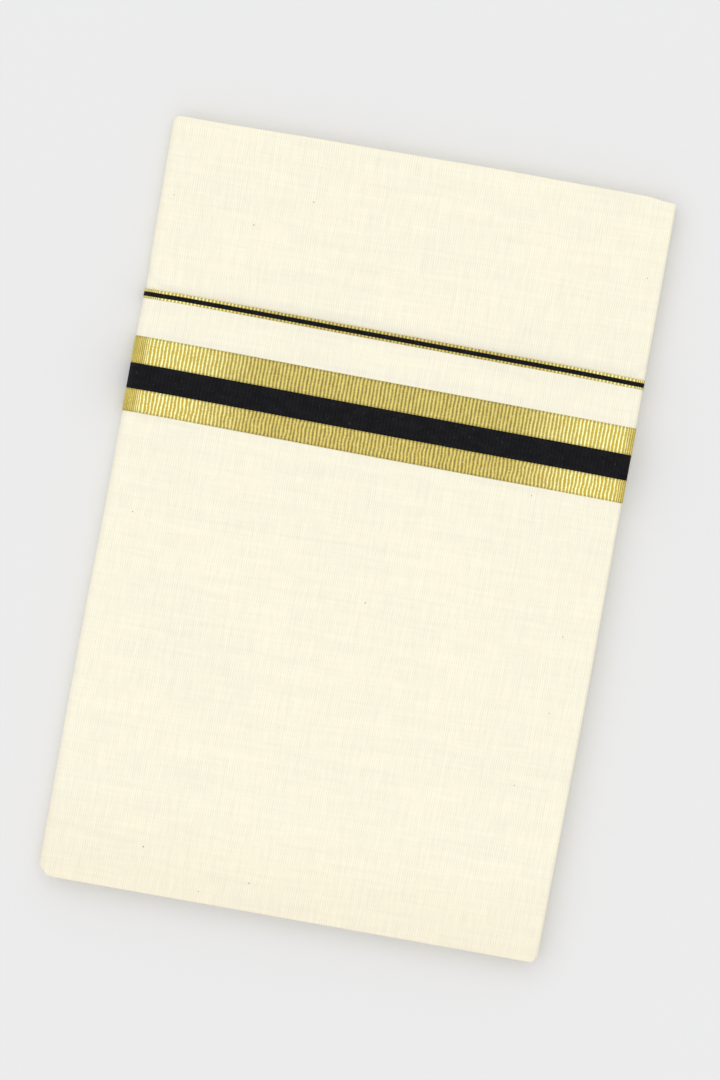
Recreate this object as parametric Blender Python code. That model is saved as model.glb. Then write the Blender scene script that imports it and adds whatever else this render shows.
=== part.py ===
"""A folded, pressed cotton dhoti with woven gold and black borders, lying flat.

The long cloth was folded across its width until its border side lay on top,
then halved four times along its length. The result is a flat bundle of sixteen
panels. Its outer cloth starts inside the right edge, turns up round the right
fold, crosses the top, goes round the thick left fold and runs back underneath.
The front flap comes up from the bottom fold and ends at its selvedge, where the
panel behind it shows. Every stretch that shows is a wall of its own. The layers
inside are one solid whose ends are stepped like the folds they stand for.

X runs across the bundle, Y from the bottom fold to the top fold, and Z up. The
origin is the middle of the underside. Lengths are in metres.
"""

import math
from collections import namedtuple

import bmesh
import bpy
import numpy as np

MM = 0.001

# Thickness: sixteen panels, each about four layers of thin cotton.
PANELS = 16
PANEL = 1.0 * MM
GAP = 0.3 * MM
STACK = PANELS * PANEL
TOP_FOLD_HEIGHT = 12.6 * MM

# Border bands, from the selvedge down, measured across each band.
SELVEDGE_Y = 103.5 * MM
THIN_OUTER_GOLD = 1.5 * MM
THIN_BLACK = 2.3 * MM
THIN_INNER_GOLD = 1.4 * MM
PLAIN_GAP = 19.3 * MM
WIDE_UPPER_GOLD = 13.7 * MM
WIDE_BLACK = 12.7 * MM
WIDE_LOWER_GOLD = 11.5 * MM
BAND_SKEW = 0.0048

# Woven ribs, which run across the bands.
RIB_PITCH = 1.85 * MM
RIB_HEIGHT = 0.2 * MM
BAND_RAISE = 0.15 * MM
RIBS_PER_BAY = 6

# How far the panel behind reaches under the flap.
TUCK = 6.0 * MM
TUCK_RUN_OUT = 5.0 * MM
FLAP_STANDS_PROUD = 0.7 * MM

# Rounding of a wall along a fold, and of the free end underneath.
EDGE_ROUND = 0.35 * MM
FREE_END_SETBACK = 2.2 * MM

# Depth of the crease between two layers at the ends of the hidden solid.
CREASE = 0.45 * MM

SideRow = namedtuple("SideRow", "y left right")
SIDE_EDGES = (
    SideRow(-192.0, 126.25, 125.35),
    SideRow(-150.0, 126.55, 125.85),
    SideRow(-101.0, 126.85, 126.15),
    SideRow(-54.0, 126.55, 126.35),
    SideRow(-6.0, 126.05, 126.15),
    SideRow(30.0, 125.55, 126.15),
    SideRow(78.0, 126.05, 126.45),
    SideRow(104.0, 125.75, 126.65),
    SideRow(150.0, 126.05, 126.85),
    SideRow(192.0, 126.75, 126.55),
)

EndRow = namedtuple("EndRow", "x bottom top")
END_EDGES = (
    EndRow(-126.0, 192.7, 190.2),
    EndRow(-104.0, 192.7, 190.5),
    EndRow(-52.0, 192.4, 191.5),
    EndRow(0.0, 192.2, 192.2),
    EndRow(40.0, 192.2, 192.7),
    EndRow(104.0, 192.1, 192.6),
    EndRow(126.0, 192.1, 191.0),
)

Corner = namedtuple("Corner", "side end run drop power")
CORNERS = (
    Corner("left", "bottom", 5.2, 4.6, 1.0),
    Corner("right", "bottom", 4.8, 4.8, 2.0),
    Corner("left", "top", 2.9, 2.9, 2.0),
    Corner("right", "top", 1.0, 1.0, 2.0),
)

# How far each hidden panel's fold stops short of the bundle's outline.
Setback = namedtuple("Setback", "panel bottom top")
SETBACKS = (
    Setback(1, 0.4, 0.9),
    Setback(2, 1.1, 0.2),
    Setback(3, 0.3, 0.7),
    Setback(4, 0.8, 1.3),
    Setback(5, 0.1, 0.4),
    Setback(6, 0.9, 0.8),
    Setback(7, 1.4, 0.1),
    Setback(8, 0.5, 1.0),
    Setback(9, 0.2, 0.5),
    Setback(10, 1.0, 1.2),
    Setback(11, 0.6, 0.3),
    Setback(12, 0.1, 0.9),
    Setback(13, 0.8, 0.6),
    Setback(14, 0.3, 0.2),
)

# Folds that show on the right edge, in panels counted up from the underside.
Lobe = namedtuple("Lobe", "low high setback")
RIGHT_LOBES = (
    Lobe(1.3, 2.0, 0.9),
    Lobe(2.0, 4.0, 0.2),
    Lobe(4.0, 7.7, 0.5),
)

# Levels of the hidden solid, as distances in panels from its middle crease. The
# slot at the right edge is where the outer cloth ends between the two halves.
LEVELS = (0.0, 0.3, 1.0, 1.3, 1.65, 2.0, 2.5, 3.0, 3.5, 4.0, 4.5, 5.0, 5.5, 6.0, 6.35, 6.7)
MIDDLE = PANELS / 2.0
CORE_REACH = LEVELS[-1]
INSET = PANEL + GAP
SLOT = (MIDDLE - GAP / PANEL, MIDDLE + INSET / PANEL)
NEAR = 0.01

# How finely the shapes are divided.
PLAIN_STEPS = {"right_fold": 7, "top": 12, "left_fold": 10, "under": 3}
FIELD_ROWS = 8
BEHIND_ROWS = 6
COLUMNS = 6
LEFT_STEPS = 8
CORE_ROWS_BELOW = (-150, -100, -50, 0, 50, 85)
CORE_ROWS_ABOVE = (107, 130, 160, 180)

Station = namedtuple("Station", "stretch along travel rib major")
Place = namedtuple("Place", "zone level share")
CoreRow = namedtuple("CoreRow", "y kind skewed")
Room = namedtuple("Room", "left_centre left_reach right_radius slot_low middle slot_high top")
Finish = namedtuple("Finish", "name color roughness metallic")
COTTON = Finish("cream_cotton", (0.93, 0.89, 0.76, 1.0), 0.9, 0.0)
INNER_COTTON = Finish("inner_cotton", (0.90, 0.86, 0.73, 1.0), 0.9, 0.0)
GOLD = Finish("gold_thread", (0.72, 0.55, 0.16, 1.0), 0.38, 0.8)
BLACK = Finish("black_cotton", (0.012, 0.012, 0.014, 1.0), 0.8, 0.0)


def clear_scene():
    """Remove every object that the new file starts with."""
    for thing in list(bpy.data.objects):
        bpy.data.objects.remove(thing, do_unlink=True)


def material(finish):
    """Return the Principled material of a finish, made once."""
    found = bpy.data.materials.get(finish.name)
    if found:
        return found
    made = bpy.data.materials.new(finish.name)
    made.use_nodes = True
    shader = made.node_tree.nodes["Principled BSDF"]
    shader.inputs["Base Color"].default_value = finish.color
    shader.inputs["Roughness"].default_value = finish.roughness
    shader.inputs["Metallic"].default_value = finish.metallic
    return made


def solid(name, points, faces, finish):
    """Make one named, closed, outward-facing solid from points and faces."""
    mesh = bpy.data.meshes.new(name)
    mesh.from_pydata([tuple(point) for point in points], [], faces)
    shape = bmesh.new()
    shape.from_mesh(mesh)
    bmesh.ops.recalc_face_normals(shape, faces=shape.faces)
    shape.to_mesh(mesh)
    shape.free()
    mesh.materials.append(material(finish))
    made = bpy.data.objects.new(name, mesh)
    bpy.context.scene.collection.objects.link(made)
    return made


def column(rows, name):
    """Return one named column of a table, in metres."""
    return [getattr(row, name) * MM for row in rows]


def side_edge(y, side):
    """Return X of the bundle's left or right edge at a height on the bundle."""
    reach = float(np.interp(y, column(SIDE_EDGES, "y"), column(SIDE_EDGES, side)))
    return -reach if side == "left" else reach


def corner_cut(x, end):
    """Return how far the outline draws in near a corner, at one X."""
    cut = 0.0
    for corner in CORNERS:
        if corner.end != end:
            continue
        sign = -1.0 if corner.side == "left" else 1.0
        inward = abs(side_edge(outermost_y(end), corner.side)) - sign * x
        share = 1.0 - inward / (corner.run * MM)
        if share <= 0.0:
            continue
        share = min(share, 1.0)
        if corner.power > 1.0:
            share = 1.0 - math.sqrt(1.0 - share ** corner.power)
        cut = max(cut, share * corner.drop * MM)
    return cut


def outermost_y(end):
    """Return Y of the side edges' first or last row."""
    return column(SIDE_EDGES, "y")[0 if end == "bottom" else -1]


def end_edge(x, end):
    """Return Y of the bundle's bottom or top edge at one X, corners included."""
    reach = float(np.interp(x, column(END_EDGES, "x"), column(END_EDGES, end)))
    reach -= corner_cut(x, end)
    return -reach if end == "bottom" else reach


def wrap_height(y, behind):
    """Return the height of the outer cloth's top above the underside."""
    if not behind:
        return STACK
    share = (y - SELVEDGE_Y) / (outermost_y("top") - SELVEDGE_Y)
    share = min(max(share, 0.0), 1.0)
    start = STACK - PANEL - GAP
    return start + (TOP_FOLD_HEIGHT - start) * math.sin(share * math.pi / 2.0)


def wrap_left(y, behind):
    """Return X of the outer cloth's left fold."""
    inset = 0.0
    if behind:
        share = min(max((y - SELVEDGE_Y) / (4.0 * TUCK), 0.0), 1.0)
        inset = FLAP_STANDS_PROUD * (1.0 - share)
    return side_edge(y, "left") + inset


def wrap_point(station, y, depth, behind):
    """Return X and Z on the outer cloth's path, at a depth below its face."""
    height = wrap_height(y, behind)
    left_radius = height / 2.0
    right_radius = height / 4.0
    left_centre = wrap_left(y, behind) + left_radius
    right_centre = side_edge(y, "right") - right_radius
    if station.stretch == "right_fold":
        turn = math.pi * (1.0 - station.along)
        reach = right_radius - depth
        return right_centre + reach * math.sin(turn), height - right_radius + reach * math.cos(turn)
    if station.stretch == "top":
        return right_centre + (left_centre - right_centre) * station.along, height - depth
    if station.stretch == "left_fold":
        turn = math.pi * station.along
        reach = left_radius - depth
        return left_centre - reach * math.sin(turn), left_radius + reach * math.cos(turn)
    right_end = side_edge(y, "right") - FREE_END_SETBACK
    return left_centre + (right_end - left_centre) * station.along, depth


def path_stations(ribbed):
    """Return the stations along the outer cloth's path, from right to left.

    A ribbed path has a station at each crest and each groove. Every bay of a
    few ribs ends at a major station, the only ones that the plain inside has.
    """
    half_width = side_edge(0.0, "right")
    right_length = math.pi * STACK / 4.0
    left_length = math.pi * STACK / 2.0
    top_length = 2.0 * half_width - STACK / 2.0 - STACK / 4.0
    under_length = 2.0 * half_width - STACK / 2.0 - FREE_END_SETBACK
    right_ribs = round(right_length / RIB_PITCH)
    left_ribs = round(left_length / RIB_PITCH)
    top_ribs = round(top_length / (RIB_PITCH * RIBS_PER_BAY)) * RIBS_PER_BAY
    steps_of = dict(PLAIN_STEPS)
    if ribbed:
        steps_of.update(right_fold=2 * right_ribs, top=2 * top_ribs, left_fold=2 * left_ribs)
    stretches = (
        ("right_fold", right_length, 2),
        ("top", top_length, 2 * RIBS_PER_BAY),
        ("left_fold", left_length, 2),
        ("under", under_length, 1),
    )
    start = half_width - STACK / 4.0 + right_length
    made = []
    for name, length, bay in stretches:
        steps = steps_of[name]
        for step in range(0 if name == "right_fold" else 1, steps + 1):
            share = step / steps
            on_rib = ribbed and name != "under" and step % 2 == 1
            major = not ribbed or name == "under" or step % bay == 0 or step == steps
            made.append(Station(name, share, start - length * share, on_rib, major))
        start -= length
    return made


def raised(station, band):
    """Return how far a band's face stands above the plain cloth there."""
    if not band or station.stretch == "under":
        return 0.0
    height = BAND_RAISE + (RIB_HEIGHT if station.rib else 0.0)
    if station.stretch == "left_fold":
        height *= min(1.0, 4.0 * (1.0 - station.along))
    return height


def cloth_wall(name, finish, seams, rows=2, band=False, ribbed=False, behind=False):
    """Make one stretch of the outer cloth, a wall that follows the fold path.

    seams holds two functions that give Y at a station and its X, from the
    lower edge to the upper one, and whether each edge is a rounded fold.
    """
    stations = path_stations(ribbed)
    (low_edge, low_round), (high_edge, high_round) = seams
    points = []

    def add_row(share, depth, pull, outer):
        """Add one lengthwise row of the wall and return its point numbers."""
        row = {}
        for number, station in enumerate(stations):
            if not outer and not station.major:
                continue
            near_x = wrap_point(station, SELVEDGE_Y, 0.0, behind)[0]
            low = low_edge(station, near_x)
            high = high_edge(station, near_x)
            y = low + (high - low) * share + pull
            rise = raised(station, band) if outer else 0.0
            x, z = wrap_point(station, y, depth - rise, behind)
            row[number] = len(points)
            points.append((x, y, z))
        return row

    def pull_at(index):
        """Return how far a row draws in from a rounded edge."""
        if index == 0 and low_round:
            return EDGE_ROUND
        if index == rows - 1 and high_round:
            return -EDGE_ROUND
        return 0.0

    shares = [index / (rows - 1) for index in range(rows)]
    outer_rows = [add_row(share, 0.0, pull_at(i), True) for i, share in enumerate(shares)]
    inner_rows = [add_row(share, PANEL, pull_at(i), False) for i, share in enumerate(shares)]
    high_rim = [add_row(1.0, PANEL / 2.0, 0.0, False)] if high_round else []
    low_rim = [add_row(0.0, PANEL / 2.0, 0.0, False)] if low_round else []
    loops = outer_rows + high_rim + inner_rows[::-1] + low_rim
    majors = [number for number, station in enumerate(stations) if station.major]
    faces = []
    for one, other in zip(loops, loops[1:] + loops[:1]):
        faces.extend(bridge(one, other, majors))
    for number in (0, len(stations) - 1):
        faces.extend(end_cap(number, outer_rows, inner_rows, low_rim, high_rim))
    return solid(name, points, faces, finish)


def bridge(one, other, majors):
    """Return the faces between two lengthwise rows, fine or coarse."""
    faces = []
    for start, stop in zip(majors, majors[1:]):
        first = [one[n] for n in range(start, stop + 1) if n in one]
        second = [other[n] for n in range(start, stop + 1) if n in other]
        if len(first) == len(second):
            for n in range(len(first) - 1):
                faces.append((first[n], first[n + 1], second[n + 1], second[n]))
        else:
            faces.append(tuple(first) + tuple(reversed(second)))
    return faces


def end_cap(number, outer_rows, inner_rows, low_rim, high_rim):
    """Return the faces that close a wall at one end of its path."""
    faces = []
    for index in range(len(outer_rows) - 1):
        faces.append((
            outer_rows[index][number],
            outer_rows[index + 1][number],
            inner_rows[index + 1][number],
            inner_rows[index][number],
        ))
    for rim, index in ((low_rim, 0), (high_rim, -1)):
        if rim:
            faces.append((outer_rows[index][number], rim[0][number], inner_rows[index][number]))
    return faces


def seam(y):
    """Return a woven seam line: it keeps its slant round the folds."""
    def line(station, _x):
        """Return Y of the seam at a station."""
        return y - BAND_SKEW * station.travel
    return line


def tuck_line(station, x):
    """Return where the panel behind starts: under the flap, but not at the folds."""
    selvedge = seam(SELVEDGE_Y + GAP)(station, x)
    if station.stretch != "top":
        return selvedge
    inward = min(station.along, 1.0 - station.along) * 2.0 * side_edge(0.0, "right")
    return selvedge - (TUCK + GAP) * min(1.0, inward / TUCK_RUN_OUT)


def fold_line(end):
    """Return the bundle's bottom or top fold as a line over its stations."""
    def line(_station, x):
        """Return Y of the fold at one X."""
        return end_edge(x, end)
    return line


def build_flap():
    """Make the front flap: its plain field, its seven woven bands and gaps."""
    y = SELVEDGE_Y
    bands = (
        ("thin_border_outer_gold", GOLD, THIN_OUTER_GOLD, True, True),
        ("thin_border_black", BLACK, THIN_BLACK, True, False),
        ("thin_border_inner_gold", GOLD, THIN_INNER_GOLD, True, True),
        ("plain_strip_between_borders", COTTON, PLAIN_GAP, False, False),
        ("wide_border_upper_gold", GOLD, WIDE_UPPER_GOLD, True, True),
        ("wide_border_black", BLACK, WIDE_BLACK, True, True),
        ("wide_border_lower_gold", GOLD, WIDE_LOWER_GOLD, True, True),
    )
    for name, finish, width, band, ribbed in bands:
        low = y - width
        edges = ((seam(low + GAP / 2.0), False), (seam(y - GAP / 2.0), False))
        cloth_wall(name, finish, edges, band=band, ribbed=ribbed)
        y = low
    field = ((fold_line("bottom"), True), (seam(y - GAP / 2.0), False))
    cloth_wall("front_flap_field", COTTON, field, rows=FIELD_ROWS)


def build_panel_behind():
    """Make the panel that shows above the flap's selvedge."""
    edges = ((tuck_line, False), (fold_line("top"), True))
    cloth_wall("panel_behind_flap", COTTON, edges, rows=BEHIND_ROWS, behind=True)


class HiddenLayers:
    """The layers inside the bundle as one solid, stepped where folds end.

    A Place is a point of its cross-section. In the zones middle and right,
    level counts panels up from the underside. In the zone left, level is the
    distance from the middle crease and share the turn round the left fold.
    """

    def __init__(self):
        self.places = []
        self.numbers = {}
        self.faces = []
        self.lay_out()

    def number(self, place):
        """Return the number of a place, adding it if it is new."""
        if place.zone == "left" and place.level == 0.0:
            place = Place("middle", MIDDLE, 0.0)
        elif place.zone == "left" and place.share == 0.0:
            place = Place("middle", MIDDLE + place.level, 0.0)
        elif place.zone == "left" and place.share == 1.0:
            place = Place("middle", MIDDLE - place.level, 0.0)
        key = (place.zone, round(place.level, 4), round(place.share, 4))
        if key not in self.numbers:
            self.numbers[key] = len(self.places)
            self.places.append(place)
        return self.numbers[key]

    def cell(self, *corners):
        """Add one face of the cross-section, dropping repeated corners."""
        face = []
        for corner in corners:
            number = self.number(corner)
            if number not in face:
                face.append(number)
        if len(face) > 2:
            self.faces.append(face)

    def lay_out(self):
        """Divide the cross-section into cells along its layers."""
        heights = [MIDDLE - level for level in LEVELS[:0:-1]] + [MIDDLE + level for level in LEVELS]
        for low, high in zip(heights, heights[1:]):
            for step in range(COLUMNS):
                near, far = step / COLUMNS, (step + 1) / COLUMNS
                self.cell(
                    Place("middle", low, near), Place("middle", low, far),
                    Place("middle", high, far), Place("middle", high, near),
                )
            if high <= SLOT[0] + NEAR or low >= SLOT[1] - NEAR:
                self.cell(
                    Place("middle", low, 1.0), Place("right", low, 0.0),
                    Place("right", high, 0.0), Place("middle", high, 1.0),
                )
        for inner, outer in zip(LEVELS, LEVELS[1:]):
            for step in range(LEFT_STEPS):
                turn, turned = step / LEFT_STEPS, (step + 1) / LEFT_STEPS
                self.cell(
                    Place("left", inner, turn), Place("left", outer, turn),
                    Place("left", outer, turned), Place("left", inner, turned),
                )

    def room(self, y, kind):
        """Return the space that the outer cloth leaves for the layers at one Y.

        kind is flap, behind, or tuck where the panel behind reaches under the
        flap, so that the layers there clear both walls.
        """
        wrap = wrap_height(y, kind == "behind")
        lower_wrap = wrap_height(SELVEDGE_Y, True)
        left_gap = INSET + (FLAP_STANDS_PROUD if kind == "tuck" else 0.0)
        return Room(
            left_centre=wrap_left(y, kind == "behind") + wrap / 2.0,
            left_reach=wrap / 2.0 - left_gap,
            right_radius=wrap / 4.0,
            slot_low=(lower_wrap if kind == "tuck" else wrap) / 2.0 - GAP,
            middle=wrap / 2.0,
            slot_high=wrap / 2.0 + INSET,
            top=(lower_wrap if kind == "tuck" else wrap) - INSET,
        )

    def point(self, place, y, kind):
        """Return X and Z of a place at one Y on the bundle."""
        room = self.room(y, kind)
        knots = (MIDDLE - CORE_REACH, SLOT[0], MIDDLE, SLOT[1], MIDDLE + CORE_REACH)
        heights = (INSET, room.slot_low, room.middle, room.slot_high, room.top)
        if place.zone == "left":
            turn = math.pi * place.share
            level = MIDDLE + place.level * math.cos(turn)
            x = room.left_centre - room.left_reach * place.level / CORE_REACH * math.sin(turn)
            return x, float(np.interp(level, knots, heights))
        z = float(np.interp(place.level, knots, heights))
        if place.zone == "right":
            return self.right_reach(place.level, y, room.right_radius), z
        slot_wall = side_edge(y, "right") - room.right_radius - GAP
        return room.left_centre + (slot_wall - room.left_centre) * place.share, z

    def right_reach(self, level, y, radius):
        """Return X of the right edge's folds at one level."""
        edge = side_edge(y, "right")
        if level > MIDDLE:
            centre = (SLOT[1] + MIDDLE + CORE_REACH) / 2.0
            half = centre - SLOT[1]
            swell = math.sqrt(max(0.0, 1.0 - ((level - centre) / half) ** 2))
            return edge - radius + (radius - INSET) * swell
        reaches = []
        for lobe in RIGHT_LOBES:
            if lobe.low - NEAR <= level <= lobe.high + NEAR:
                half = (lobe.high - lobe.low) / 2.0
                off = (level - (lobe.low + lobe.high) / 2.0) / half
                swell = math.sqrt(max(0.0, 1.0 - off * off))
                reaches.append(edge - lobe.setback * MM - half * PANEL * (1.0 - swell))
        return min(reaches)

    def setback(self, place, end):
        """Return how far the solid's end stops short of the outline at a place."""
        upper = layer_setback(MIDDLE + place.level, end)
        if place.zone != "left":
            return layer_setback(place.level, end)
        lower = layer_setback(MIDDLE - place.level, end)
        return upper + (lower - upper) * place.share

    def build(self):
        """Make the solid: two stepped ends joined by its rounded outside."""
        tuck_start = SELVEDGE_Y - TUCK - 2.0 * GAP
        rows = [CoreRow(y * MM, "flap", False) for y in CORE_ROWS_BELOW]
        rows.append(CoreRow(tuck_start - GAP, "flap", True))
        rows.append(CoreRow(tuck_start, "tuck", True))
        rows.append(CoreRow(SELVEDGE_Y - GAP, "tuck", True))
        rows += [CoreRow(y * MM, "behind", False) for y in CORE_ROWS_ABOVE]
        rim = boundary(self.faces)
        points = []
        rings = [self.end_ring(points, "bottom")]
        for row in rows:
            ring = {}
            for number in sorted({n for edge in rim for n in edge}):
                x, z = self.point(self.places[number], row.y, row.kind)
                slant = BAND_SKEW * x if row.skewed else 0.0
                ring[number] = len(points)
                points.append((x, row.y - slant, z))
            rings.append(ring)
        rings.append(self.end_ring(points, "top"))
        faces = [tuple(rings[0][n] for n in face) for face in self.faces]
        faces += [tuple(rings[-1][n] for n in reversed(face)) for face in self.faces]
        for one, other in zip(rings, rings[1:]):
            for start, stop in rim:
                faces.append((one[start], other[start], other[stop], one[stop]))
        return solid("hidden_layers", points, faces, INNER_COTTON)

    def end_ring(self, points, end):
        """Add all points of one stepped end and return their numbers."""
        ring = {}
        for number, place in enumerate(self.places):
            kind = "flap" if end == "bottom" else "behind"
            x, z = self.point(place, outermost_y(end), kind)
            back = self.setback(place, end)
            y = end_edge(x, end) + (back if end == "bottom" else -back)
            ring[number] = len(points)
            points.append((x, y, z))
        return ring


def layer_setback(level, end):
    """Return a layer's setback at its crest, or a deeper one in a crease."""
    by_panel = {row.panel: getattr(row, end) * MM for row in SETBACKS}
    nearest = round(level)
    if abs(level - nearest) < NEAR and 1 < nearest < PANELS - 1:
        return max(by_panel[nearest - 1], by_panel[nearest]) + CREASE
    panel = min(max(int(level), 1), PANELS - 2)
    at_rim = abs(abs(level - MIDDLE) - CORE_REACH) < NEAR
    return by_panel[panel] + (CREASE if at_rim else 0.0)


def boundary(faces):
    """Return the edges that only one face uses, in that face's direction."""
    directed = set()
    for face in faces:
        for start, stop in zip(face, face[1:] + face[:1]):
            directed.add((start, stop))
    return [edge for edge in sorted(directed) if (edge[1], edge[0]) not in directed]


def build():
    """Make the whole bundle."""
    clear_scene()
    HiddenLayers().build()
    build_panel_behind()
    build_flap()


build()
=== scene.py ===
"""Looks of the folded dhoti: cream cotton with woven gold and black borders.

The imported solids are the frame. Each one is replaced by a finer piece of cloth on
the same fold path: it starts inside the right edge, turns up round the right fold,
crosses the top, goes round the thick left fold and runs back underneath. Every
surface carries a map in metres: u is the way along that path and v the way up the
bundle, so that the weave and the ribs follow the folds.
"""

import logging
import math
from dataclasses import dataclass, field
from enum import Enum
from typing import Callable, NamedTuple, Sequence

import bmesh
import bpy
import numpy as np
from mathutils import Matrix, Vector


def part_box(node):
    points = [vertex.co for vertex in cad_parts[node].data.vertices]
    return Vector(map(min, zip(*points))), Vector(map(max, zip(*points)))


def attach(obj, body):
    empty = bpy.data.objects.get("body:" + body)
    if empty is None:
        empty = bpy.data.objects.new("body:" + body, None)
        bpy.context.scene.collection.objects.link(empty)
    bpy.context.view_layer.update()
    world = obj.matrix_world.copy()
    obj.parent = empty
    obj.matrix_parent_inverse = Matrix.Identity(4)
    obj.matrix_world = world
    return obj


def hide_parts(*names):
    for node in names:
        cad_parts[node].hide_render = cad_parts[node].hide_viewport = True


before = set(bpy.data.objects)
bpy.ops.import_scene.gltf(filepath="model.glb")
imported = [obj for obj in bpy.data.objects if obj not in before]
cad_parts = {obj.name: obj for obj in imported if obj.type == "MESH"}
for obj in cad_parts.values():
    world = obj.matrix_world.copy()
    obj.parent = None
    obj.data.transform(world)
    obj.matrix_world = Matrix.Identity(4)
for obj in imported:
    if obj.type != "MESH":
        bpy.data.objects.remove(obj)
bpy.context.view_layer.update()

LOG = logging.getLogger("dhoti")
MM = 0.001
BODY = "root"
CLOTH_MAP = "cloth"
FULL_TURN = 2.0 * math.pi
CURVE_POINTS = 3001

Array = np.ndarray
Line = Callable[[Array, Array], Array]
Row = tuple[Array, Array]
Pair = tuple[float, float]
Color = tuple[float, float, float, float]
Piece = bpy.types.Object
Material = bpy.types.Material
Socket = bpy.types.NodeSocket
Value = float | Sequence[float] | Socket


class Side(Enum):
    """A side edge of the bundle, with the sign of its X."""

    LEFT = -1.0
    RIGHT = 1.0


class End(Enum):
    """A folded end of the bundle, with the sign of its Y."""

    BOTTOM = -1.0
    TOP = 1.0


class Border(Enum):
    """A woven border, with the name of its column in the table of lies."""

    THIN = "thin"
    WIDE = "wide"


class Zone(Enum):
    """A part of the hidden layers' cross-section."""

    LEFT = "left"
    MIDDLE = "middle"
    RIGHT = "right"


class SideRow(NamedTuple):
    """How far the two side edges stand from the middle at one Y, in mm."""

    y: float
    left: float
    right: float


class EndRow(NamedTuple):
    """How far the two folded ends stand from the middle at one X, in mm."""

    x: float
    bottom: float
    top: float


class Corner(NamedTuple):
    """How a corner of the outline is cut back, in mm; power 1 is straight."""

    side: Side
    end: End
    run: float
    drop: float
    power: float


class BorderLie(NamedTuple):
    """How far the two borders rise from where they cross the middle, in mm.

    The way runs along the cloth from the middle of the top, to the left.
    """

    way: float
    thin: float
    wide: float


class Fleck(NamedTuple):
    """A seed fleck in the cotton: its place and size on the top, in mm."""

    x: float
    y: float
    size: float


class Crease(NamedTuple):
    """A soft press mark: middle, length, width and depth in mm, turn in degrees.

    It bows by a share of its length.
    """

    x: float
    y: float
    length: float
    width: float
    depth: float
    turn: float
    bow: float = 0.06

    def at(self, x: Array, y: Array) -> Array:
        """Find how deep the mark is; it thins out to its ends.

        Args:
            x: X of the points, in metres.
            y: Y of the points, in metres.

        Returns:
            The depth at each point, in metres.
        """
        turn, length = math.radians(self.turn), self.length * MM
        dx, dy = x - self.x * MM, y - self.y * MM
        way = (dx * math.cos(turn) + dy * math.sin(turn)) / length
        across = dy * math.cos(turn) - dx * math.sin(turn)
        across = across + self.bow * length * np.sin(way * 3.0)
        width = self.width * MM * (0.7 + 0.3 * np.cos(way * 2.0))
        return self.depth * MM * np.exp(-((across / width) ** 2)) * np.exp(-((2.0 * way) ** 4))


SIDE_ROWS = tuple(SideRow(*row) for row in (
    (-192.0, 126.45, 125.9), (-150.0, 126.62, 126.17), (-101.0, 126.8, 126.6),
    (-54.0, 126.6, 127.0), (-6.0, 126.15, 126.9), (30.0, 126.07, 126.8),
    (78.0, 126.1, 127.05), (104.0, 125.8, 127.05), (150.0, 126.45, 127.2),
    (192.0, 127.05, 127.15),
))

END_ROWS = tuple(EndRow(*row) for row in (
    (-126.0, 193.05, 190.7), (-104.0, 193.1, 190.8), (-52.0, 192.9, 191.8),
    (-30.0, 192.8, 191.95), (0.0, 192.7, 192.3), (40.0, 192.55, 192.9),
    (112.5, 192.4, 192.85), (119.0, 192.45, 192.05), (126.0, 192.5, 191.5),
))

CORNERS = (
    Corner(Side.LEFT, End.BOTTOM, 5.2, 4.6, 1.0),
    Corner(Side.RIGHT, End.BOTTOM, 3.0, 4.9, 1.01),
    Corner(Side.LEFT, End.TOP, 3.3, 3.4, 2.0),
    Corner(Side.RIGHT, End.TOP, 1.0, 1.0, 2.0),
)

BORDER_LIES = tuple(BorderLie(*row) for row in (
    (-131.0, -0.90, -0.68), (-119.0, -0.75, -0.60), (-109.0, -0.55, -0.50),
    (-89.0, -0.28, -0.34), (-60.0, -0.22, -0.24), (-30.0, -0.12, -0.10),
    (0.0, 0.0, 0.0), (30.0, 0.10, 0.20), (60.0, 0.28, 0.45), (89.0, 0.37, 0.65),
    (109.0, 0.36, 0.72), (119.0, 0.12, 0.67), (140.0, 0.10, 0.72), (400.0, 1.80, 1.90),
))

TOP_CREASES = tuple(Crease(*row) for row in (
    (-62.0, -88.0, 120.0, 9.0, 0.10, 3.0),
    (48.0, -38.0, 90.0, 12.0, -0.08, -4.0),
    (12.0, -148.0, 150.0, 10.0, 0.12, 1.5),
    (-20.0, -12.0, 70.0, 8.0, 0.06, 86.0),
    (74.0, -120.0, 110.0, 14.0, -0.10, 88.0),
    (-88.0, 150.0, 60.0, 9.0, 0.07, 82.0),
    (30.0, 158.0, 130.0, 11.0, 0.08, -2.0),
    (96.0, 20.0, 80.0, 10.0, 0.07, 91.0),
))

UNDER_CREASES = tuple(Crease(*row) for row in (
    (40.0, -100.0, 120.0, 12.0, 0.09, 2.0),
    (-50.0, -40.0, 90.0, 10.0, 0.07, 87.0),
    (10.0, 150.0, 110.0, 9.0, 0.07, -3.0),
))

SEED_FLECKS = tuple(Fleck(*row) for row in (
    (-77.6, 143.7, 0.75), (-50.2, 160.3, 0.75), (-118.7, 151.4, 0.6),
    (118.3, 152.7, 0.6), (-112.5, -7.3, 0.7), (9.8, -31.3, 0.8),
    (109.6, -30.4, 0.7), (81.8, 35.9, 0.7), (99.4, -107.3, 0.6),
    (109.8, -69.1, 0.6), (-77.0, -170.2, 0.9), (-21.8, -178.7, 0.8),
    (-45.8, -187.3, 0.6),
))


def column(rows: Sequence[NamedTuple], name: str) -> list[float]:
    """Return one named column of a table in mm, in metres."""
    return [getattr(row, name) * MM for row in rows]


def smooth_step(low: float, high: float, value: Array) -> Array:
    """Return values eased from 0 at low to 1 at high."""
    share = np.clip((value - low) / (high - low), 0.0, 1.0)
    return share * share * (3.0 - 2.0 * share)


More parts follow.
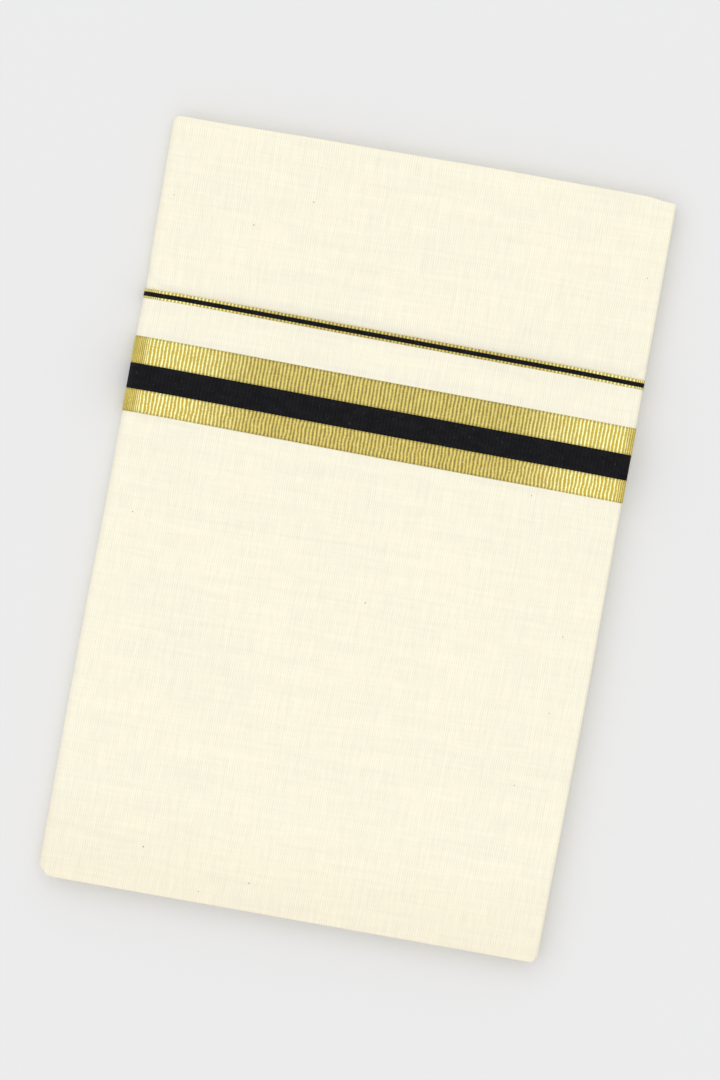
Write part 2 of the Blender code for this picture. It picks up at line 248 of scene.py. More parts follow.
@dataclass(frozen=True)
class Outline:
    """The bundle's outline seen from above, in metres."""

    sides: tuple[SideRow, ...] = SIDE_ROWS
    ends: tuple[EndRow, ...] = END_ROWS
    corners: tuple[Corner, ...] = CORNERS

    def side(self, y: Array, side: Side) -> Array:
        """Return X of a side edge at Y."""
        reaches = column(self.sides, side.name.lower())
        return side.value * np.interp(y, column(self.sides, "y"), reaches)

    def end(self, x: Array, end: End) -> Array:
        """Find a folded end, with its corners cut back.

        Args:
            x: Where to read the end.
            end: Which end.

        Returns:
            Y of the fold, with the same shape as x.
        """
        reach = np.interp(x, column(self.ends, "x"), column(self.ends, end.name.lower()))
        near = self.sides[0 if end is End.BOTTOM else -1]
        for corner in self.corners:
            if corner.end is end:
                edge = getattr(near, corner.side.name.lower()) * MM
                inward = edge - corner.side.value * x
                share = np.clip(1.0 - inward / (corner.run * MM), 0.0, 1.0)
                if corner.power > 1.0:
                    share = 1.0 - np.sqrt(1.0 - share ** corner.power)
                reach = reach - share * corner.drop * MM
        return end.value * reach

    def end_in_middle(self, end: End) -> float:
        """Return Y of a folded end where it crosses X = 0."""
        return float(self.end(np.array(0.0), end))


class PressedFold:
    """The curve of a fold that is pressed a little square, in equal steps."""

    def __init__(self, power: float) -> None:
        """Measure the curve.

        Args:
            power: 2 makes it round, and a higher one squarer.
        """
        self.power = power
        turns = np.linspace(0.0, math.pi, CURVE_POINTS)
        self.across = np.abs(np.sin(turns)) ** (2.0 / power)
        self.up = np.sign(np.cos(turns)) * np.abs(np.cos(turns)) ** (2.0 / power)
        steps = np.hypot(np.diff(self.across), np.diff(self.up))
        self.turns = np.concatenate([[0.0], np.cumsum(steps)]) / np.sum(steps) * math.pi

    def point(self, turn: Array) -> Row:
        """Return how far across and up the fold stands at a turn from its top."""
        return np.interp(turn, self.turns, self.across), np.interp(turn, self.turns, self.up)

    def swell(self, off: float) -> float:
        """Return how far across it stands at a share of its half height."""
        return max(0.0, 1.0 - abs(off) ** self.power) ** (1.0 / self.power)


@dataclass(frozen=True)
class FoldPath:
    """The path of the outer cloth round the bundle, in five stretches.

    They are the tuck inside the right edge, the right fold, the top, the left fold
    and the underside. The flap settles from the stack's height to edge_height at its
    selvedge. The panel behind falls from behind_height there to the top fold's, and
    the flap's left fold stands proud of it. The ribs lie closer in the folds, by
    rib_pace, and flatten over a share of the left fold, under_fade. The gold's painted
    highlight, the gleam, gives way to its painted fold shade within right_dull and
    left_dull, counted from the top's two ends.
    """

    outline: Outline
    stack: float
    selvedge_y: float
    behind: bool = False
    edge_height: float = 15.5 * MM
    behind_height: float = 14.5 * MM
    top_fold_height: float = 12.6 * MM
    top_y: float = 192.0 * MM
    settle: float = 26.0 * MM
    tuck_in: float = 5.0 * MM
    free_end: float = 2.2 * MM
    proud: float = 0.4 * MM
    proud_run: float = 24.0 * MM
    rib_pace: tuple[float, ...] = (1.0, 2.0, 1.0, 2.0, 1.0)
    right_dull: Pair = (-2.7 * MM, 0.1 * MM)
    left_dull: Pair = (1.0 * MM, 3.4 * MM)
    under_fade: float = 0.3
    left_fold: PressedFold = PressedFold(2.5)
    right_fold: PressedFold = PressedFold(4.0)

    def height(self, y: Array) -> Array:
        """Find how high the cloth's face lies above the underside.

        Args:
            y: Where to read it.

        Returns:
            The height at each Y.
        """
        if self.behind:
            share = np.clip((y - self.selvedge_y) / (self.top_y - self.selvedge_y), 0.0, 1.0)
            fall = np.sin(share * math.pi / 2.0)
            return self.behind_height + (self.top_fold_height - self.behind_height) * fall
        ease = smooth_step(self.selvedge_y - self.settle, self.selvedge_y, y)
        return self.stack + (self.edge_height - self.stack) * ease

    def left(self, y: Array) -> Array:
        """Return X of the left fold at Y, where the panel behind keeps back a little."""
        share = np.clip((y - self.selvedge_y) / self.proud_run, 0.0, 1.0)
        return self.outline.side(y, Side.LEFT) + self.behind * self.proud * (1.0 - share)

    @property
    def half(self) -> float:
        """How far the right edge stands from the middle at Y = 0."""
        return float(self.outline.side(np.array(0.0), Side.RIGHT))

    @property
    def lengths(self) -> tuple[float, ...]:
        """Work out the lengths of the five stretches.

        Returns:
            Their lengths, in the path's order.
        """
        top =2.0 * self.half - 0.75 * self.stack
        under = 2.0 * self.half - 0.5 * self.stack - self.free_end
        return (
            self.tuck_in, math.pi * self.stack / 4.0, top, math.pi * self.stack / 2.0, under
        )

    @property
    def starts(self) -> list[float]:
        """Where each stretch starts along the path, and where the last ends."""
        return [0.0, *np.cumsum(self.lengths).tolist()]

    @property
    def total(self) -> float:
        """The whole length of the path."""
        return sum(self.lengths)

    @property
    def middle(self) -> float:
        """Where the path crosses X = 0 on the top."""
        return self.starts[2] + self.half - self.stack / 4.0

    def place(self, along: Array, y: Array, depth: Array) -> Row:
        """Find points on the path.

        Args:
            along: The way along the path, in metres.
            y: Y of each point, with the shape of the result.
            depth: How far each point lies below the cloth's face.

        Returns:
            X and Z of the points.
        """
        along, y, depth = np.broadcast_arrays(along, y, depth)
        height, right_edge = self.height(y), self.outline.side(y, Side.RIGHT)
        left_radius, right_radius = height / 2.0, height / 4.0
        left_centre, right_centre = self.left(y) + left_radius, right_edge - right_radius
        right_end = right_edge - self.free_end
        starts = self.starts
        shares = [(along - start) / length for start, length in zip(starts, self.lengths)]
        right_across, right_up = self.right_fold.point(math.pi * (1.0 - shares[1]))
        left_across, left_up = self.left_fold.point(math.pi * shares[3])
        left_reach, right_reach = left_radius - depth, right_radius - depth
        xs = (
            right_centre - (1.0 - shares[0]) * self.tuck_in,
            right_centre + right_reach * right_across,
            right_centre + (left_centre - right_centre) * shares[2],
            left_centre - left_reach * left_across,
            left_centre + (right_end - left_centre) * shares[4],
        )
        zs = (
            height / 2.0 + depth,
            height - right_radius + right_reach * right_up,
            height - depth,
            left_radius + left_reach * left_up,
            depth,
        )
        stretch = np.clip(np.searchsorted(starts, along, side="right") - 1, 0, 4)
        return np.choose(stretch, xs), np.choose(stretch, zs)

    def stations(self, steps: Sequence[float]) -> Array:
        """Divide the path.

        Args:
            steps: The longest step in each of the five stretches.

        Returns:
            The stations, from the path's start to its end.
        """
        stops = [np.zeros(1)]
        for start, length, step in zip(self.starts, self.lengths, steps):
            count = max(1, math.ceil(length / step))
            stops.append(start + length * np.arange(1, count + 1) / count)
        return np.concatenate(stops)

    def seam(self, y: float, border: Border) -> Line:
        """Lay a woven line as one of the borders lies.

        Args:
            y: Where the line crosses the middle of the top.
            border: The border that it follows.

        Returns:
            The line, as a function of the stations and their X.
        """
        ways = self.middle + np.array(column(BORDER_LIES, "way"))
        rises = column(BORDER_LIES, border.value)
        return lambda along, x: y + np.interp(along, ways, rises)

    def woven_way(self, along: Array) -> Array:
        """Return the way along the path as the ribs count it."""
        ways = np.cumsum(np.array(self.lengths) * self.rib_pace)
        return np.interp(along, self.starts, [0.0, *ways])

    def folded(self, along: Array) -> Array:
        """Return 1 in the two folds and 0 elsewhere, with soft ends."""
        right = 1.0 - smooth_step(*self.right_dull, along - self.starts[2])
        return np.maximum(right, smooth_step(*self.left_dull, along - self.starts[3]))

    def on_top(self, along: Array) -> Array:
        """Tell the top and the folds from the underside.

        Args:
            along: The stations along the path.

        Returns:
            1 on the top and the folds, fading to 0 before the underside.
        """
        under = self.starts[4]
        fade = smooth_step(under - self.lengths[3] * self.under_fade, under, along)
        return smooth_step(0.0, self.tuck_in, along) * (1.0 - fade)


class NodeBench:
    """A node tree under construction, with short ways to add its nodes."""

    def __init__(self, tree: bpy.types.NodeTree) -> None:
        """Work on that tree."""
        self.tree = tree

    def add(self, kind: str, inputs: dict[str | int, Value] | None = None,
            **settings: object) -> bpy.types.Node:
        """Add a node.

        Args:
            kind: Blender's name for the node's type.
            inputs: What its inputs get, by name or number.
            settings: Values of the node's own properties.

        Returns:
            The node.
        """
        node = self.tree.nodes.new(kind)
        for name, value in settings.items():
            setattr(node, name, value)
        self.feed(node, inputs or {})
        return node

    def feed(self, node: bpy.types.Node, inputs: dict[str | int, Value]) -> None:
        """Set inputs of a node, or link them to other nodes' outputs.

        Args:
            node: The node.
            inputs: A value or an output for each input, by name or number.
        """
        for name, value in inputs.items():
            if isinstance(value, Socket):
                self.tree.links.new(value, node.inputs[name])
            else:
                node.inputs[name].default_value = value

    def math(self, operation: str, *values: Value) -> Socket:
        """Add a Math node over the given values and return its output."""
        inputs = dict(enumerate(values))
        return self.add("ShaderNodeMath", inputs, operation=operation).outputs[0]


class Noise(NamedTuple):
    """A noise over the cloth map.

    Attributes:
        u: Cells for each metre along the path.
        v: Cells for each metre up the bundle.
        shift: Where the pattern starts, to tell layers apart.
        detail: Octaves of finer noise.
        rough: How strong the finer noise is.
    """

    u: float
    v: float
    shift: Pair = (0.0, 0.0)
    detail: float = 2.0
    rough: float = 0.6


class Shader(NodeBench):
    """A node material under construction, over the cloth map."""

    def __init__(self, name: str) -> None:
        """Start an empty Principled material.

        Args:
            name: The material's name.
        """
        self.material = bpy.data.materials.new(name)
        self.material.use_nodes = True
        super().__init__(self.material.node_tree)
        self.cloth_map = self.add("ShaderNodeUVMap", uv_map=CLOTH_MAP).outputs[0]

    def spread(self, value: Value, low: float, high: float, out_low: float = 0.0,
               out_high: float = 1.0) -> Socket:
        """Map a value from one range to another, held at the ends."""
        inputs = dict(enumerate((value, low, high, out_low, out_high)))
        return self.add("ShaderNodeMapRange", inputs).outputs[0]

    def noise(self, noise: Noise) -> Socket:
        """Add a noise.

        Args:
            noise: What the noise is.

        Returns:
            Its value, around 0.5.
        """
        scale, shift = (noise.u, noise.v, 1.0), (*noise.shift, 0.0)
        place = self.add(
            "ShaderNodeMapping", {"Vector": self.cloth_map, "Scale": scale, "Location": shift}
        )
        inputs = {
            "Vector": place.outputs[0], "Scale": 1.0,
            "Detail": noise.detail, "Roughness": noise.rough,
        }
        return self.add("ShaderNodeTexNoise", inputs).outputs[0]

    def way(self, axis: int) -> Socket:
        """Return the map's u (0) or v (1), in metres."""
        return self.add("ShaderNodeSeparateXYZ", {0: self.cloth_map}).outputs[axis]

    def yarns(self, axis: int, pitch: float) -> Socket:
        """Return the wave of yarns that follow each other along u (0) or v (1)."""
        return self.math("SINE", self.math("MULTIPLY", self.way(axis), FULL_TURN / pitch))

    def mix(self, share: Value, first: Value, second: Value, blend: str = "MIX") -> Socket:
        """Mix two colours and return the result."""
        inputs = {0: share, 6: first, 7: second}
        return self.add("ShaderNodeMix", inputs, data_type="RGBA", blend_type=blend).outputs[2]

    def tint(self, color: Value, by: Value) -> Socket:
        """Multiply two colours and return the result."""
        return self.mix(1.0, color, by, "MULTIPLY")

    def attribute(self, name: str) -> Socket:
        """Read a named attribute of the piece as a number."""
        return self.add("ShaderNodeAttribute", attribute_name=name).outputs["Fac"]

    def bump(self, height: Value, distance: float, strength: float,
             under: Socket | None = None) -> Socket:
        """Add a bump.

        Args:
            height: The height, as a share of the distance.
            distance: How high a height of 1 stands.
            strength: How much the bump counts.
            under: The normal of a bump under this one.

        Returns:
            The normal.
        """
        inputs = {"Height": height, "Distance": distance, "Strength": strength}
        if under is not None:
            inputs["Normal"] = under
        return self.add("ShaderNodeBump", inputs).outputs[0]

    def finish(self, inputs: dict[str, Value]) -> Material:
        """Feed the Principled node's inputs and return the material."""
        self.feed(self.tree.nodes["Principled BSDF"], inputs)
        return self.material


@dataclass(frozen=True)
class CottonFinish:
    """Plain woven, slightly slubby cotton with seed flecks.

    It is darker and warmer towards the bottom fold, fading out between the two Y
    of its range there.
    """

    name: str
    base: Color = (0.945, 0.897, 0.716, 1.0)
    cool: Color = (0.923, 0.884, 0.726, 1.0)
    bottom_tint: Color = (0.975, 0.950, 0.940, 1.0)
    seam_shade: Color = (0.950, 0.958, 0.992, 1.0)
    fleck: Color = (0.30, 0.24, 0.15, 1.0)
    yarn_pitch: float = 0.38 * MM
    line_pitch: float = 1.15 * MM
    line_strength: float = 0.95
    line_stray: float = 9.0
    bottom_tint_range: Pair = (-184.0 * MM, -142.0 * MM)
    bottom_tint_stray: float = 12.0 * MM
    # How far the cloth is painted brighter; above 1.0 it is painted light.
    painted_lift: float = 1.0
    contrast: float = 0.044
    flecks: tuple[Fleck, ...] = SEED_FLECKS
    slubs: tuple[tuple[Noise, float], ...] = (
        (Noise(16.0, 16.0), 0.55),
        (Noise(12.0, 150.0, (1.9, 7.3)), 0.65),
        (Noise(25.0, 330.0, (6.3, 4.1)), 0.55),
        (Noise(45.0, 600.0, (0.4, 5.9)), 0.85),
        (Noise(420.0, 9.0, (8.1, 2.2)), 0.55),
        (Noise(720.0, 70.0, (3.1, 0.7)), 1.35),
    )
    stray: Noise = Noise(40.0, 25.0, (7.7, 3.3), rough=0.5)
    clear: Noise = Noise(90.0, 220.0, (2.2, 8.8), detail=1.5)
    bottom_tint_edge: Noise = Noise(30.0, 10.0, (5.5, 1.1), rough=0.5)

    def material(self, path: FoldPath) -> Material:
        """Build the material.

        Args:
            path: The cloth's path, to place the flecks on its top.

        Returns:
            The material.
        """
        shader = Shader(self.name)
        slubs: Value = 0.0
        for noise, strength in self.slubs:
            streak = shader.math("SUBTRACT", shader.noise(noise), 0.5)
            streak = shader.math("MULTIPLY", streak, 2.0)
            slubs = shader.math("MULTIPLY_ADD", streak, strength, slubs)
        lines = shader.math("MULTIPLY", shader.way(0), FULL_TURN / self.line_pitch)
        stray = shader.math("MULTIPLY_ADD", shader.noise(self.stray), self.line_stray, lines)
        clear = shader.spread(shader.noise(self.clear), 0.40, 0.60, 0.25, 1.35)
        lines = shader.math("MULTIPLY", shader.math("SINE", stray), clear)
        tone = shader.math("MULTIPLY_ADD", lines, self.line_strength, slubs)
        bright = shader.math("MULTIPLY_ADD", tone, self.contrast, self.painted_lift)
        grey = shader.add("ShaderNodeCombineColor", dict.fromkeys(range(3), bright)).outputs[0]
        color = shader.mix(shader.spread(slubs, -1.0, 1.0), self.cool, self.base)
        color = shader.tint(color, grey)
        # Darker and warmer towards the bottom fold, with a wandering edge.
        edge = shader.noise(self.bottom_tint_edge)
        edge = shader.math("MULTIPLY_ADD", edge, self.bottom_tint_stray, shader.way(1))
        near_bottom = shader.spread(edge, *self.bottom_tint_range, 1.0, 0.0)
        color = shader.mix(near_bottom, color, shader.tint(color, self.bottom_tint))
        shaded = shader.tint(color, self.seam_shade)
        color = shader.mix(shader.attribute("near_seam"), color, shaded)
        color = shader.mix(self.fleck_mask(shader, path), color, self.fleck)
        yarns = [shader.yarns(axis, self.yarn_pitch) for axis in (0, 1)]
        weave = shader.bump(shader.math("MULTIPLY", *yarns), 0.03 * MM, 0.35)
        return shader.finish({
            "Base Color": color, "Roughness": 0.92, "Specular IOR Level": 0.15,
            "Sheen Weight": 0.12, "Sheen Roughness": 0.5,
            "Normal": shader.bump(slubs, 0.05 * MM, 0.5, weave),
        })

    def fleck_mask(self, shader: Shader, path: FoldPath) -> Value:
        """Place the seed flecks on the top.

        Args:
            shader: The material under construction.
            path: The cloth's path.

        Returns:
            How far each point is fleck.
        """
        mask: Value = 0.0
        for fleck in self.flecks:
            centre = (path.middle - fleck.x * MM, fleck.y * MM, 0.0)
            inputs = {0: shader.cloth_map, 1: centre}
            away = shader.add("ShaderNodeVectorMath", inputs, operation="DISTANCE")
            radius = fleck.size * MM / 2.0
            spot = shader.spread(away.outputs["Value"], radius * 0.5, radius * 1.3, 0.75, 0.0)
            mask = shader.math("MAXIMUM", mask, spot)
        return mask


@dataclass(frozen=True)
class GoldFinish:
    """Shiny gold-coloured thread woven in ribs.

    Towards the ends of the top it is painted with a highlight, a lit copy of its
    colours, and in the folds with a flatter copy without glints, painted shade where
    it turns from the light. It has warm patches of its own colour, and painted glints
    as sparkles, as far as each band's wear setting asks.
    """

    name: str
    # Groove, flank and crest: the gold's own colour, painted darker into the ribs' grooves and
    # brighter on their crests, as painted shade and highlight over the real ribs.
    groove: Color = (0.275, 0.195, 0.055, 1.0)
    flank: Color = (0.57, 0.46, 0.093, 1.0)
    crest: Color = (0.77, 0.665, 0.185, 1.0)
    # The lit copy: painted highlight towards the ends of the top.
    lit_groove: Color = (0.59, 0.42, 0.035, 1.0)
    lit_crest: Color = (1.0, 1.0, 0.53, 1.0)
    # The folds' copy: flatter and without glints, painted shade where the gold turns from the
    # light.
    fold_groove: Color = (0.39, 0.275, 0.042, 1.0)
    fold_crest: Color = (0.78, 0.675, 0.165, 1.0)
    fresh_tint: Color = (0.982, 1.003, 1.01, 1.0)
    worn_tint: Color = (1.03, 0.91, 0.76, 1.0)
    # Painted glint: the colour of the sparkles.
    painted_glint: Color = (0.95, 0.90, 0.55, 1.0)
    thread_pitch: float = 0.42 * MM
    grain: Noise = Noise(550.0, 1300.0)
    broken: Noise = Noise(540.0, 170.0, (3.0, 6.0), detail=1.5)
    warm: Noise = Noise(800.0, 420.0, (9.0, 2.0))
    glint_spots: Noise = Noise(760.0, 620.0, (1.0, 5.0), detail=1.0, rough=0.5)

    def material(self) -> Material:
        """Build the material.

        Returns:
            The material.
        """
        shader = Shader(self.name)
        worn, grain = shader.attribute("worn"), shader.noise(self.grain)
        rib = shader.attribute("rib")
        for noise, stray in ((grain, 0.17), (shader.noise(self.broken), 0.13)):
            rib = shader.math("ADD", rib, shader.spread(noise, 0.3, 0.7, -stray, stray))
        # Painted shade in the grooves and painted highlight on the crests.
        low = shader.spread(rib, 0.0, 0.5)
        plain = shader.mix(low, self.groove, self.flank)
        plain = shader.mix(shader.spread(rib, 0.45, 1.0), plain, self.crest)
        # Painted highlight: the lit copy, laid where the gleam attribute is high.
        lit = shader.mix(low, self.lit_groove, self.flank)
        lit = shader.mix(shader.spread(rib, 0.42, 0.85), lit, self.lit_crest)
        # Painted shade in the folds: the flatter copy, laid where the folded attribute is high.
        folded = shader.mix(shader.spread(rib, 0.0, 1.0), self.fold_groove, self.fold_crest)
        color = shader.mix(shader.attribute("gleam"), plain, lit)
        color = shader.mix(shader.attribute("folded"), color, folded)
        warm = shader.spread(shader.noise(self.warm), 0.48, 0.62)
        warm = shader.math("MULTIPLY", warm, worn)
        color = shader.tint(color, shader.mix(warm, self.fresh_tint, self.worn_tint))
        # Painted glints: small bright sparkles on the gold, more where the wear setting is
        # high.
        glint_spots = shader.spread(shader.noise(self.glint_spots), 0.67, 0.78, 0.0, 0.7)
        color = shader.mix(shader.math("MULTIPLY", glint_spots, worn), color, self.painted_glint)
        threads = shader.bump(shader.yarns(1, self.thread_pitch), 0.02 * MM, 0.4)
        return shader.finish({
            "Base Color": color, "Metallic": 0.35, "Sheen Weight": 0.0,
            "Roughness": shader.spread(rib, 0.0, 1.0, 0.55, 0.32),
            "Normal": shader.bump(grain, 0.06 * MM, 0.5, threads),
        })


@dataclass(frozen=True)
class BlackFinish:
    """Matt black cotton woven in faint ribs, with a little lint."""

    name: str
    # Groove and crest: the black painted darker in the ribs' grooves than on their crests, as
    # painted shade.
    groove: Color = (0.0044, 0.0045, 0.0056, 1.0)
    crest: Color = (0.0112, 0.0114, 0.0134, 1.0)
    lint: Color = (0.05, 0.052, 0.06, 1.0)
    grain: Noise = Noise(700.0, 1800.0)
    patch: Noise = Noise(150.0, 260.0, (6.0, 3.0))
    specks: Noise = Noise(800.0, 500.0, (4.0, 9.0), detail=1.0, rough=0.5)

    def material(self) -> Material:
        """Build the material.

        Returns:
            The material.
        """
        shader = Shader(self.name)
        grain = shader.noise(self.grain)
        uneven = shader.spread(grain, 0.3, 0.7, -0.4, 0.8)
        # The rib's height darkens the grooves as painted shade, beside random grain and
        # patches.
        tone = shader.math("MULTIPLY_ADD", shader.attribute("rib"), 0.6, uneven)
        patch = shader.spread(shader.noise(self.patch), 0.35, 0.65, -0.35, 0.35)
        tone = shader.math("ADD", tone, patch)
        color = shader.mix(shader.spread(tone, 0.0, 1.2), self.groove, self.crest)
        specks = shader.spread(shader.noise(self.specks), 0.69, 0.78, 0.0, 0.55)
        return shader.finish({
            "Base Color": shader.mix(specks, color, self.lint), "Roughness": 0.85,
            "Specular IOR Level": 0.12, "Sheen Weight": 0.02,
            "Normal": shader.bump(grain, 0.06 * MM, 0.5),
        })


def add_object(name: str, data: bpy.types.ID) -> Piece:
    """Put an object at the scene's origin.

    Args:
        name: The object's name.
        data: Its mesh, camera or light.

    Returns:
        The object.
    """
    thing = bpy.data.objects.new(name, data)
    bpy.context.scene.collection.objects.link(thing)
    return thing


def make_piece(name: str, points: Array, faces: list[Sequence[int]], maps: Array) -> Piece:
    """Make a mesh object at the origin with its map in metres.

    Args:
        name: The piece's name.
        points: The points, in metres.
        faces: Point numbers of each face.
        maps: The map's u and v at each point.

    Returns:
        The piece, smooth and with its faces turned outwards.
    """
    mesh = bpy.data.meshes.new(name)
    mesh.from_pydata(points.tolist(), [], faces)
    shape = bmesh.new()
    shape.from_mesh(mesh)
    bmesh.ops.recalc_face_normals(shape, faces=shape.faces)
    shape.to_mesh(mesh)
    shape.free()
    layer = mesh.uv_layers.new(name=CLOTH_MAP)
    corners = np.empty(len(mesh.loops), dtype=np.int32)
    mesh.loops.foreach_get("vertex_index", corners)
    layer.uv.foreach_set("vector", maps[corners].astype(np.float32).ravel())
    mesh.shade_smooth()
    return add_object(name, mesh)


def store(piece: Piece, name: str, values: Array) -> None:
    """Store a number or a vector at each point of a piece.

    Args:
        piece: The piece.
        name: The attribute's name.
        values: One row or number for each point.
    """
    kind, key = ("FLOAT_VECTOR", "vector") if values.ndim == 2 else ("FLOAT", "value")
    attribute = piece.data.attributes.new(name, kind, "POINT")
    attribute.data.foreach_set(key, values.astype(np.float32).ravel())


def settle(piece: Piece) -> None:
    """Turn a piece and its modifiers into a plain mesh.

    Args:
        piece: The piece.
    """
    graph = bpy.context.evaluated_depsgraph_get()
    result = bpy.data.meshes.new_from_object(
        piece.evaluated_get(graph), preserve_all_data_layers=True, depsgraph=graph
    )
    piece.modifiers.clear()
    old, piece.data = piece.data, result
    bpy.data.meshes.remove(old)
    result.name = piece.name
    result.shade_smooth()


def hand_over(piece: Piece, node: str, finish: Material | None = None) -> None:
    """Let a piece ride on the body and stand for a node of the frame.

    Args:
        piece: The piece.
        node: The node that it replaces.
        finish: Its material, where it has none yet.
    """
    if finish:
        piece.data.materials.append(finish)
    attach(piece, BODY)
    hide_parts(node)
    LOG.info("%s: %d faces, stands for %s", piece.name, len(piece.data.polygons), node)


def declare(width: float, path: FoldPath) -> None:
    """Work out the length of a stretch's path, and keep nothing of it.

    Args:
        width: Its real width; not used.
        path: The path that gives its length.
    """
    path.total


class SeamShade(NamedTuple):
    """The soft shade beside a raised border.

    It rises from clear to full, holds, and fades away from hold to reach, all
    counted from the cloth's edge.
    """

    amount: float = 1.0
    hold: float = -2.0 * MM
    reach: float = 7.5 * MM
    clear: float = -0.6 * MM
    full: float = 2.2 * MM

    def at(self, away: Array) -> Array:
        """Return the shade at distances from the edge."""
        fall = 1.0 - smooth_step(self.hold, self.reach, away)
        return self.amount * fall * smooth_step(self.clear, self.full, away)


class Profile(NamedTuple):
    """The rows round a shell: its face, upper rim, inside and lower rim.

    Attributes:
        rows: Y and depth of each row, over the stations.
        face: How many rows the face has.
        rim: How many rows the upper rim has.
        picks: Which rows of the face the inside repeats.
    """

    rows: list[Row]
    face: int
    rim: int
    picks: list[int]


@dataclass
class Shell:
    """A closed shell of cloth that follows the fold path between two lines.

    Attributes:
        along: The stations along the path.
        low: The lower edge, and high the upper one, as lines over the stations.
        folds: Which edges are folds.
        fold_dulls: How far the two side folds take the gold's painted highlight and lay its
            painted fold shade.
        worn: How far the gold has warm patches of its own colour, and painted glints as
            sparkles.
        raise_by: How far the face stands above the path on the top.
        shaded: Which edges the raised cloth beside them shades.
        close_rows: Where more rows lie beside such an edge, in mm.
        lip: How far the second fold of a folded edge keeps back.
        glint: The range from the top's ends over which the painted highlight, the gleam, fades.
    """

    name: str
    path: FoldPath
    along: Array
    low: Line
    high: Line
    row_count: int
    thickness: float
    folds: tuple[End, ...] = ()
    inner_rows: int = 2
    fold_dulls: float = 1.0
    worn: float = 0.4
    raise_by: float = 0.0
    shaded: tuple[End, ...] = ()
    shade: SeamShade = SeamShade()
    creased: bool = False
    close_rows: tuple[float, ...] = (0.5, 1.2, 2.2, 3.6, 5.4)
    lip: float = 0.35 * MM
    glint: Pair = (14.0 * MM, 62.0 * MM)

    def build(self) -> Piece:
        """Make the shell.

        Returns:
            The piece, linked to the scene, with its map and attributes.
        """
        low, high = self.edge(self.low), self.edge(self.high)
        profile = self.profile(low, high)
        blocks, maps = [], []
        for y, depth in profile.rows:
            x, z = self.path.place(self.along, y, depth)
            blocks.append(np.stack([x, y, z], axis=-1))
            maps.append(np.stack([self.along, y + depth * 0.5], axis=-1))
        points = np.concatenate(blocks)
        piece = make_piece(self.name, points, self.faces(profile), np.concatenate(maps))
        for name, values in self.attributes(profile, low, high, points[:, 1]).items():
            store(piece, name, values)
        return piece

    def edge(self, line: Line) -> Array:
        """Find an edge, read where the path is at its own Y.

        Args:
            line: The edge's line.

        Returns:
            Y of the edge at each station.
        """
        y = np.full_like(self.along, self.path.selvedge_y)
        for _ in range(3):
            x, _ = self.path.place(self.along, y, 0.0)
            y = line(self.along, x)
        return y

    def profile(self, low: Array, high: Array) -> Profile:
        """Lay out the rows round the shell.

        Args:
            low: Y of the lower edge at each station.
            high: Y of the upper edge at each station.

        Returns:
            The profile.
        """
        shares = self.shares(float(np.mean(high - low)))
        inwards = [self.thickness / 4.0 * (end in self.folds) for end in End]
        rows = []
        for index, share in enumerate(shares):
            y = low + (high - low) * share
            y = y + inwards[0] * (index == 0) - inwards[1] * (index == len(shares) - 1)
            rows.append((y, self.face_depth(y)))
        even = np.linspace(0, len(shares) - 1, self.inner_rows)
        picks = sorted({round(pick) for pick in even})
        inside = [(rows[pick][0], np.full_like(low, self.thickness)) for pick in picks]
        high_rim = self.rim(high, -1.0) if End.TOP in self.folds else []
        low_rim = self.rim(low, 1.0)[::-1] if End.BOTTOM in self.folds else []
        rows = rows + high_rim + inside[::-1] + low_rim
        return Profile(rows, len(shares), len(high_rim), picks)

    def shares(self, width: float) -> Array:
        """Find where the face's rows lie, closer together beside a shaded edge.

        Args:
            width: The mean width of the face.

        Returns:
            The rows' shares of the way from the lower to the upper edge.
        """
        close = np.array(self.close_rows) * MM / width
        shares = [np.linspace(0.0, 1.0, self.row_count)]
        shares += [close if end is End.BOTTOM else 1.0 - close for end in self.shaded]
        return np.unique(np.round(np.concatenate(shares), 6))

    def face_depth(self, y: Array) -> Array:
        """Find how deep the face lies below the path, creases included.

        Args:
            y: Y of one row at each station.

        Returns:
            The depth at each station.
        """
        x, _ = self.path.place(self.along, y, 0.0)
        depth = -self.raise_by * self.path.on_top(self.along)
        if self.creased:
            starts = self.path.starts
            top = (self.along > starts[2]) & (self.along < starts[3])
            under = self.along > starts[4]
            for mask, creases in ((top, TOP_CREASES), (under, UNDER_CREASES)):
                for crease in creases:
                    depth = depth + np.where(mask, crease.at(x, y), 0.0)
        return depth

    def rim(self, edge: Array, inward: float) -> list[Row]:
        """Round a folded edge as two small folds, one under the other.

        Args:
            edge: Y of the edge at each station.
            inward: The sign of Y towards the cloth.

        Returns:
            The rim's rows from the face down.
        """
        lobe = self.thickness / 4.0
        rows = []
        for fold in (0, 1):
            # The second fold ends at the inside's own row, so it has one turn less.
            for turn in (0.2, 0.5, 0.8, 1.0)[:4 - fold]:
                reach = lobe * (1.0 - math.sin(math.pi * turn)) + fold * self.lip
                depth = (2.0 * fold + 1.0 - math.cos(math.pi * turn)) * lobe
                rows.append((edge + inward * reach, np.full_like(edge, depth)))
        return rows

